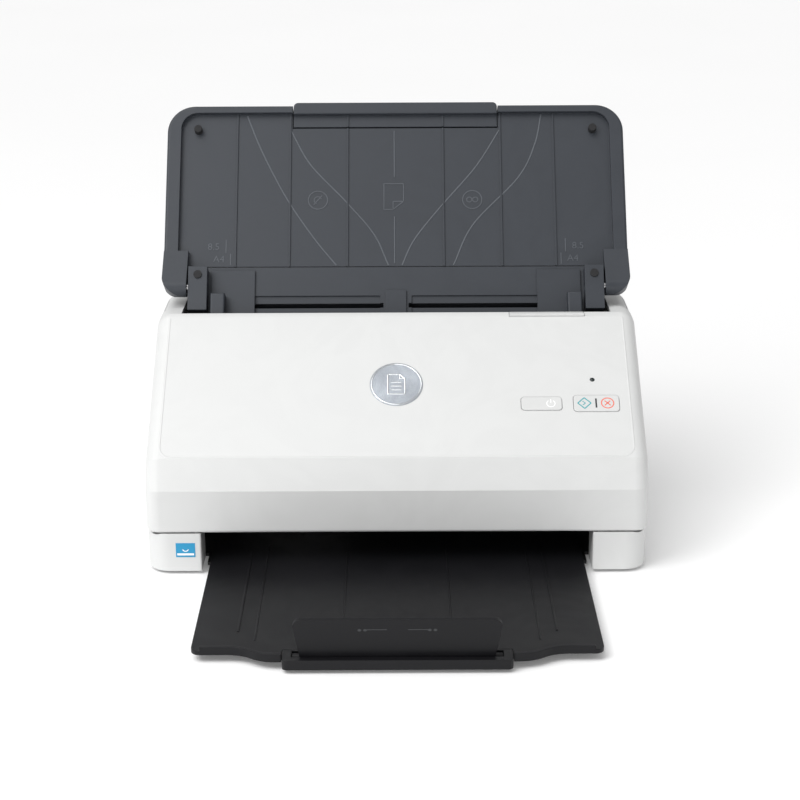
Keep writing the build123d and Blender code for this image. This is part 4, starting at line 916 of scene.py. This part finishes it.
@dataclass
class ControlFace:
    """The front cover's face: printed key signs, the badge's page sign and the lamp's lens ring."""

    machine: Machine
    shop: Shop
    ink: Array = field(default_factory=lambda: section_flat(0.0005, 0.00006))
    bold_ink: Array = field(default_factory=lambda: section_flat(0.0007, 0.00006))

    def _key_centre(self, node: str) -> tuple[float, float, float]:
        """The middle of a key's top: across, along and level in millimetres."""
        low, high = self.machine.face.extent(self.machine.nodes[node])
        middle = (low + high) / 2
        top = self.machine.face.levels(self.machine.nodes[node], np.array([[middle[0], middle[1]]]))[0]
        return float(middle[0]), float(middle[1]), float(top)

    def power_sign(self) -> None:
        """An open ring with an upright bar, printed in white on the power key."""
        x, along, level = self._key_centre("power_button")
        x += 5.6
        face = self.machine.face
        ring = arc((x, along - 0.2), 2.5, 125, 415)
        bar = straight([(x, along + 0.2), (x, along + 3.0)], 0.5)
        meshes = [self.shop.line(face, flat, level, self.ink) for flat in (ring, bar)]
        self.shop.piece("power_sign", meshes, "white_ink", "button_plastic", Body.POWER)

    def scan_signs(self) -> None:
        """A teal lozenge with an arrow, a dark bar, and a salmon ring with a cross."""
        x, along, level = self._key_centre("scan_button")
        face = self.machine.face
        tips = ((-4.0, 0), (0, 4.0), (4.0, 0), (0, -4.0), (-4.0, 0))
        lozenge = straight([(x - 7.3 + dx, along + dy) for dx, dy in tips], 0.5)
        lozenge = lozenge[:-1]
        arrow = straight([(x - 8.3, along + 1.4), (x - 6.7, along), (x - 8.3, along - 1.4)], 0.5)
        teal = [self.shop.line(face, lozenge, level, self.bold_ink, closed=True)]
        teal.append(self.shop.line(face, arrow, level, self.ink))
        self.shop.piece("scan_sign", teal, "teal_ink", "button_plastic", Body.SCAN)
        bar = straight([(x - 0.2, along - 3.4), (x - 0.2, along + 3.4)])
        dark = [self.shop.line(face, bar, level, section_flat(0.0010, 0.00006))]
        self.shop.piece("key_bar", dark, "dark_ink_and_painted_shade", "button_plastic", Body.SCAN)
        ring = arc((x + 6.7, along), 3.7, 0, 360, 49)[:-1]
        cross = [
            straight([(x + 5.0, along - hand * 1.7), (x + 8.4, along + hand * 1.7)], 0.5)
            for hand in (-1, 1)
        ]
        red = [self.shop.line(face, ring, level, self.bold_ink, closed=True)]
        red += [self.shop.line(face, run, level, self.bold_ink) for run in cross]
        self.shop.piece("stop_sign", red, "salmon_ink", "button_plastic", Body.SCAN)

    def badge_sign(self) -> None:
        """A polished rim and a raised page with three lines, on the round badge."""
        low, high = self.machine.face.extent(self.machine.nodes["round_badge"])
        middle = (low + high) / 2
        radius = float(high[0] - low[0]) / 2
        flat = np.array([[middle[0], middle[1]]])
        level = float(self.machine.face.levels(self.machine.nodes["round_badge"], flat)[0])
        face = self.machine.face
        rim = arc((float(middle[0]), float(middle[1])), radius - 1.0, 0, 360, 97)[:-1]
        meshes = [self.shop.line(face, rim, level, section_bead(0.0009, 0.00030), closed=True)]
        page = [(-5.2, -7.4), (5.2, -7.4), (5.2, 4.2), (2.0, 7.4), (-5.2, 7.4)]
        outline = straight([*page, page[0]], 0.6)[:-1] + middle[:2]
        meshes.append(self.shop.line(face, outline, level, section_bead(0.0011, 0.00034), closed=True))
        corner = straight([(2.0, 7.2), (2.0, 4.2), (5.0, 4.2)], 0.6) + middle[:2]
        meshes.append(self.shop.line(face, corner, level, section_bead(0.0008, 0.0003)))
        for along in (-4.2, -1.4, 1.4):
            run = straight([(-3.0, along), (3.0, along)], 0.6) + middle[:2]
            meshes.append(self.shop.line(face, run, level, section_bead(0.0009, 0.0003)))
        self.shop.piece("badge_sign", meshes, "bright_metal", "badge_metal", Body.COVER)

    def border(self) -> None:
        """A soft crease round the flat of the face, with rounded lower corners."""
        face = self.machine.face
        node = self.machine.nodes["front_cover"]
        steps = np.arange(-70.0, 60.0, 0.5)
        column = np.stack([np.full(steps.shape, 70.0), steps], 1)
        flat = steps[np.abs(face.levels(node, column) - face.levels(node, np.array([[70.0, 0.0]]))[0]) < 0.04]
        foot, head = float(flat.min()) + 0.9, float(flat.max()) - 0.9
        half, corner = 141.4, 8.0
        left = arc((corner - half, foot + corner), corner, 180, 270, 16)
        right = arc((half - corner, foot + corner), corner, 270, 360, 16)
        fall = straight([(-half, head), (-half, foot + corner)], 3.0)
        base = straight([tuple(left[-1]), tuple(right[0])], 3.0)
        rise = straight([(half, foot + corner), (half, head)], 3.0)
        run = np.concatenate([fall, left[1:], base[1:], right[1:], rise[1:]])
        level = face.levels(node, run)
        mesh = self.shop.line(face, run, level, section_bead(0.0013, 0.00016))
        self.shop.piece("face_border", [mesh], "white_plastic", "white_plastic", Body.COVER)

    def lamp(self) -> None:
        """A small domed lens over the status light."""
        low, high = self.machine.face.extent(self.machine.nodes["status_light"])
        middle = (low + high) / 2
        centre = (float(middle[0]), float(middle[1]))
        mesh = self.shop.dome(self.machine.face, centre, float(high[2]), 1.25, 0.22)
        self.shop.piece("status_lens", [mesh], "status_lens", "status_lens", Body.COVER)

    def build(self) -> None:
        """Builds every piece of the face."""
        self.power_sign()
        self.scan_signs()
        self.badge_sign()
        self.border()
        self.lamp()


@dataclass
class OutputTray:
    """The output tray's moulded lines, and the marks of its paper stop."""

    machine: Machine
    shop: Shop

    def tray_lines(self) -> None:
        """Four low ribs along the tray that keep a sheet from sticking to it."""
        low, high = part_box("output_tray")
        flat_slope = Slope(Vector((0.0, 0.0, 0.0)), Vector((0.0, 1.0, 0.0)), Vector((0.0, 0.0, 1.0)))
        node = self.machine.nodes["output_tray"]
        meshes = []
        for x in (-78.0, -30.0, 30.0, 78.0):
            run = straight([(x, low.y / MM + 22), (x, high.y / MM - 12)], 4.0)
            level = flat_slope.levels(node, run)
            kept = ~np.isnan(level)
            meshes.append(self.shop.line(flat_slope, run[kept], level[kept], section_bead(0.0012, 0.0003)))
        self.shop.piece("output_tray_ribs", meshes, "tray_black", "tray_black", Body.TRAY)

    def stop_marks(self) -> None:
        """Engraved marks near the top of the paper stop's front: a line and two dots on each side."""
        node = self.machine.nodes["paper_stop"]
        points = np.array([v.co for v in node.data.vertices], float)
        top = points[np.argmax(points[:, 2])]
        hinge = Vector(self.machine.joints["paper_stop_hinge"]["pos_m"])
        up = Vector((0.0, top[1] - hinge.y, top[2] - hinge.z))
        tilt = math.atan2(up.y, up.z)
        lean = Vector((0.0, math.sin(tilt), math.cos(tilt)))
        slope = Slope(hinge, lean, Vector((0.0, -lean.z, lean.y)))
        height = up.length / MM
        along = height - 5.8
        meshes = []
        for hand in (-1, 1):
            run = straight([(hand * 5.6, along), (hand * 16.4, along)])
            meshes.append(self.shop.line(slope, run, slope.levels(node, run), section_flat(0.0005, 0.00006)))
            for x in (17.2, 20.2):
                spot = np.array([[hand * x, along - 0.5]])
                level = float(slope.levels(node, spot)[0])
                meshes.append(self.shop.dome(slope, (hand * x, along - 0.5), level, 1.0, 0.06))
        self.shop.piece("paper_stop_marks", meshes, "dark_ink_and_painted_shade", "tray_black", Body.STOP)

    def build(self) -> None:
        """Builds every piece of the output tray."""
        self.tray_lines()
        self.stop_marks()


@dataclass
class Housing:
    """The rear, side and underside of the housing: painted shade in the screw recesses, the printed label's
    band, and a black sheet of painted shade under the base.
    """

    machine: Machine
    shop: Shop

    def screw_recess_shade(self) -> None:
        """A dark cross in the head of each screw under the base: painted shade for the cross recess."""
        node = self.machine.nodes["base_screws"]
        points = np.array([v.co for v in node.data.vertices], float)
        bottom = points[:, 2].min()
        heads = points[points[:, 2] < bottom + 1e-5][:, :2]
        centres = []
        for corner in heads:
            near = [index for index, group in enumerate(centres) if np.linalg.norm(group[0] - corner) < 0.012]
            if near:
                centres[near[0]].append(corner)
            else:
                centres.append([corner])
        under = Slope(Vector((0.0, 0.0, bottom)), Vector((0.0, -1.0, 0.0)), Vector((0.0, 0.0, -1.0)))
        meshes = []
        for group in centres:
            middle = (np.min(group, 0) + np.max(group, 0)) / 2 / MM
            for dx, dy in ((1.3, 0.0), (0.0, 1.3)):
                run = np.array([[middle[0] - dx, -middle[1] - dy], [middle[0] + dx, -middle[1] + dy]])
                # the cross is a flat dark mark: painted shade in the screw's recess
                meshes.append(self.shop.line(under, run, 0.0, section_flat(0.0007, 0.00005, 0.00002)))
        self.shop.piece("screw_recess_shade", meshes, "dark_ink_and_painted_shade", "steel", Body.BASE)

    def label_band(self) -> None:
        """A pale band across the lower part of the blue label."""
        low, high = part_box("blue_label")
        front = Slope(Vector((0.0, low.y, 0.0)), Vector((0.0, 0.0, 1.0)), Vector((0.0, -1.0, 0.0)))
        left, right = low.x / MM + 0.8, high.x / MM - 0.8
        foot, head = low.z / MM, high.z / MM
        band = foot + (head - foot) * 0.2
        stripe = straight([(left, band), (right, band)])
        meshes = [self.shop.line(front, stripe, 0.0, section_flat(0.0013, 0.00003))]
        middle = ((left + right) / 2, foot + (head - foot) * 0.62)
        ring = arc(middle, (head - foot) * 0.2, 200, 340, 24)
        meshes.append(self.shop.line(front, ring, 0.0, section_flat(0.0005, 0.00003)))
        self.shop.piece("label_band", meshes, "white_ink", "blue_label", Body.BASE)

    def painted_shade_sheet(self) -> None:
        """A thin black sheet just under the bottom cover: painted shade for the dark gap between the base and
        the floor.
        """
        low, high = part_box("bottom_cover")
        ground = Slope(Vector((0.0, 0.0, 0.0)), Vector((0.0, 1.0, 0.0)), Vector((0.0, 0.0, 1.0)))
        level = low.z / MM - 0.4
        run = straight([(0.0, low.y / MM + 1.0), (0.0, high.y / MM - 38.0)], 20.0)
        # black sheet under the base: painted shade, not a part of the scanner
        sheet = self.shop.line(ground, run, level, section_flat(0.122, 0.00035))
        self.shop.piece("painted_shade_sheet", [sheet], "base_black", "base_black", Body.BASE)

    def build(self) -> None:
        """Builds every piece of the housing."""
        self.screw_recess_shade()
        self.label_band()
        self.painted_shade_sheet()


# ---------------------------------------------------------------- studio
@dataclass
class Studio:
    """The pale floor, the soft lights and the camera.

    Attributes:
        machine_y: where the housing's middle lies along Y, in metres.
        elevation: the camera's angle above the horizon, in degrees.
        lens: focal length for a 36 mm sensor, in millimetres.
    """

    machine_y: float
    elevation: float = 18.5
    roll: float = -0.24
    lens: float = 85.0
    back: float = 1.1288
    height: float = 0.4586
    shift: float = 0.0044

    def camera(self) -> None:
        """Places the camera: it stands in front of the housing and looks down at it by the elevation."""
        data = bpy.data.cameras.new("camera")
        data.lens = self.lens
        data.sensor_width = 36.0
        data.shift_x = self.shift
        data.clip_start = 0.05
        data.clip_end = 60.0
        camera = bpy.data.objects.new("camera", data)
        tilt = Matrix.Rotation(math.radians(90.0 - self.elevation), 4, "X")
        turn = tilt @ Matrix.Rotation(math.radians(self.roll), 4, "Z")
        camera.matrix_world = Matrix.Translation((0.0, self.machine_y - self.back, self.height)) @ turn
        bpy.context.scene.collection.objects.link(camera)
        bpy.context.scene.camera = camera

    def lamp(self, name: str, place: tuple[float, float, float], power: float, size: float) -> None:
        """Adds a square soft light that faces the machine."""
        data = bpy.data.lights.new(name, "AREA")
        data.energy = power
        data.size = size
        lamp = bpy.data.objects.new(name, data)
        aim = Vector((0.0, self.machine_y, 0.09)) - Vector(place)
        lamp.matrix_world = Matrix.Translation(place) @ aim.to_track_quat("-Z", "Y").to_matrix().to_4x4()
        bpy.context.scene.collection.objects.link(lamp)

    def sun(self, strength: float, towards: tuple[float, float, float], spread: float) -> None:
        """Adds an even light from far away, with a wide disc for soft shadows.

        Args:
            strength: in watts per square metre.
            towards: the direction in which it stands.
            spread: the disc's angle in degrees.
        """
        data = bpy.data.lights.new("ceiling", "SUN")
        data.energy = strength
        data.angle = math.radians(spread)
        lamp = bpy.data.objects.new("ceiling", data)
        lamp.matrix_world = (-Vector(towards)).to_track_quat("-Z", "Y").to_matrix().to_4x4()
        bpy.context.scene.collection.objects.link(lamp)

    def surround(self) -> None:
        """A white surround: it is brighter to the eye than in what it lights."""
        world = bpy.data.worlds.new("surround")
        world.use_nodes = True
        world.node_tree.nodes.clear()
        graph = Graph(world.node_tree)
        seen = graph.add("ShaderNodeLightPath").outputs["Is Camera Ray"]
        strength = graph.span(seen, 0.5, 1.0)
        background = graph.add("ShaderNodeBackground", {"Color": (1.0, 1.0, 1.0, 1.0), "Strength": strength})
        graph.add("ShaderNodeOutputWorld", {"Surface": background.outputs[0]})
        bpy.context.scene.world = world

    def floor(self) -> None:
        """A wide pale floor with a faint satin sheen."""
        half, cells = 6.0, 24
        line = np.linspace(-half, half, cells + 1)
        x, y = np.meshgrid(line, line, indexing="ij")
        vertices = np.stack([x.ravel(), y.ravel(), np.zeros(x.size)], 1)
        corner = (np.arange(cells)[:, None] * (cells + 1) + np.arange(cells)[None]).ravel()
        faces = np.stack([corner, corner + cells + 1, corner + cells + 2, corner + 1], 1)
        mesh = bpy.data.meshes.new("floor")
        mesh.from_pydata(vertices.tolist(), [], faces.tolist())
        material = bpy.data.materials.new("floor")
        material.use_nodes = True
        graph = Graph(material.node_tree)
        shader = material.node_tree.nodes["Principled BSDF"]
        where = graph.add("ShaderNodeTexCoord").outputs["Object"]
        cloud = graph.add("ShaderNodeTexNoise", {"Vector": where, "Scale": 3.0, "Detail": 2.0}).outputs["Fac"]
        graph.tree.links.new(
            graph.blend(cloud, (0.93, 0.93, 0.93, 1.0), (0.96, 0.96, 0.96, 1.0)), shader.inputs["Base Color"]
        )
        shader.inputs["Roughness"].default_value = 0.6
        shader.inputs["Specular IOR Level"].default_value = 0.2
        shader.inputs["Emission Color"].default_value = (1.0, 1.0, 1.0, 1.0)
        shader.inputs["Emission Strength"].default_value = 0.1
        mesh.materials.append(material)
        floor = bpy.data.objects.new("floor", mesh)
        bpy.context.scene.collection.objects.link(floor)

    def build(self) -> None:
        """Builds the whole studio."""
        self.camera()
        self.surround()
        self.floor()
        self.lamp("key", (-0.65, self.machine_y - 0.6, 0.8), 3.4, 0.5)
        self.lamp("front_fill", (-0.2, self.machine_y - 1.5, 0.25), 4.0, 0.7)
        self.sun(1.55, (-0.40, -0.22, 0.89), 50.0)
        bpy.context.scene.view_settings.view_transform = "Standard"


def finishes(machine: Machine) -> dict[str, Finish]:
    """The finish of every slot of the record, and of the inks that new pieces need.

    Args:
        machine: gives the badge's centre.

    Returns:
        Finishes by slot or ink name.
    """
    centre = tuple(machine.face.origin)
    every = [
        Moulded("white_plastic", (0.67, 0.675, 0.67), 0.40, 0.0005, 0.0004, 0.00002, 0.02, 0.08, 0.02),
        Moulded("base_black", (0.010, 0.0105, 0.011), 0.5, 0.0004, 0.0005, 0.00004, 0.08, 0.08, 0.01, 0.35),
        Moulded(
            "blue_plastic", (0.034, 0.039, 0.048),
            0.46, 0.0005, 0.00055, 0.00004, 0.05, 0.08, 0.015, 0.4,
        ),
        # painted highlight: a lighter blue that stands in for the gloss on the lid's raised lines
        Moulded("painted_highlight_blue", (0.075, 0.084, 0.098), 0.42, 0.0002, 0.00055, 0.00002, 0.12, 0.12, 0.02),
        Moulded(
            "tray_black", (0.006, 0.006, 0.0075),
            0.44, 0.0005, 0.0005, 0.00003, 0.10, 0.05, 0.004, 0.25,
        ),
        Rubber("rubber", (0.008, 0.008, 0.009), 0.7, 0.0003),
        Rubber("roller_rubber", (0.05, 0.055, 0.065), 0.65, 0.0003),
        Moulded("pinch_plastic", (0.6, 0.6, 0.57), 0.3, 0.0003, 0.0006, 0.00001, 0.05, 0.1, 0.02),
        Metal("steel", (0.55, 0.55, 0.56), 0.28, 0.0002),
        Metal("sheet_steel", (0.5, 0.52, 0.54), 0.4, 0.0003, 0.0006),
        Metal("motor_case", (0.45, 0.45, 0.47), 0.35, 0.0004, 0.0004),
        Moulded("gear_plastic", (0.72, 0.7, 0.62), 0.36, 0.0002, 0.0008, 0.00001, 0.06, 0.12, 0.02),
        Moulded("sensor_plastic", (0.01, 0.01, 0.011), 0.45, 0.0003, 0.0005, 0.00002, 0.2, 0.1),
        Pane("sensor_glass", (0.9, 0.95, 0.94), 0.03),
        CircuitBoard("board", (0.008, 0.07, 0.03), 0.35),
        Moulded("chip", (0.012, 0.012, 0.013), 0.55, 0.0002, 0.0003, 0.00002, 0.2, 0.1),
        Moulded("socket", (0.015, 0.015, 0.016), 0.4, 0.0003, 0.0005, 0.00002, 0.2, 0.1),
        Moulded("button_plastic", (0.66, 0.665, 0.66), 0.34, 0.0004, 0.0004, 0.00001, 0.03, 0.12, 0.02),
        Printed("status_lens", (0.012, 0.02, 0.02), 0.12),
        SpunDisc("badge_metal", (0.40, 0.43, 0.47), 0.3, 0.0004, centre),
        Printed("blue_label", (0.008, 0.27, 0.50), 0.5),
        Metal("bright_metal", (0.74, 0.76, 0.78), 0.16, 0.0001, 0.0003, 0.00001, 0.05),
        Printed("white_ink", (0.9, 0.9, 0.9), 0.4),
        Printed("teal_ink", (0.05, 0.33, 0.36), 0.4),
        Printed("salmon_ink", (0.75, 0.17, 0.12), 0.4),
        # dark print on the keys and the paper stop, also used as painted shade in the screw recesses
        Printed("dark_ink_and_painted_shade", (0.02, 0.022, 0.025), 0.4),
    ]
    return {finish.name: finish for finish in every}


def dress_nodes(machine: Machine, materials: dict[str, bpy.types.Material]) -> None:
    """Gives every CAD node its slot's material and welds its facets for smooth light.

    Args:
        machine: the loaded frame.
        materials: the materials by slot.
    """
    weld = weld_and_smooth()
    slots = {row["node"]: row["material_slot"] for row in machine.frame["record"]["subparts"]}
    for name, node in machine.nodes.items():
        node.data.materials.clear()
        node.data.materials.append(materials[slots[name]])
        modifier = node.modifiers.new("weld_and_smooth", "NODES")
        modifier.node_group = weld
        weighted = node.modifiers.new("even_normals", "WEIGHTED_NORMAL")
        weighted.keep_sharp = True
        LOG.info("node %s wears %s", name, slots[name])


def main() -> None:
    """Loads the frame, dresses it, and adds every new piece and the studio."""
    logging.basicConfig(level=logging.INFO, format="%(message)s")
    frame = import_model()
    machine = Machine(frame)
    effects = Effects()
    materials = {name: finish.build(effects) for name, finish in finishes(machine).items()}
    dress_nodes(machine, materials)
    shop = Shop(materials)
    InputTray(machine, shop).build()
    ControlFace(machine, shop).build()
    OutputTray(machine, shop).build()
    Housing(machine, shop).build()
    base_low, base_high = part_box("base_housing")
    Studio((base_low.y + base_high.y) / 2).build()
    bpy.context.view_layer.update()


if __name__ == "__main__":
    main()
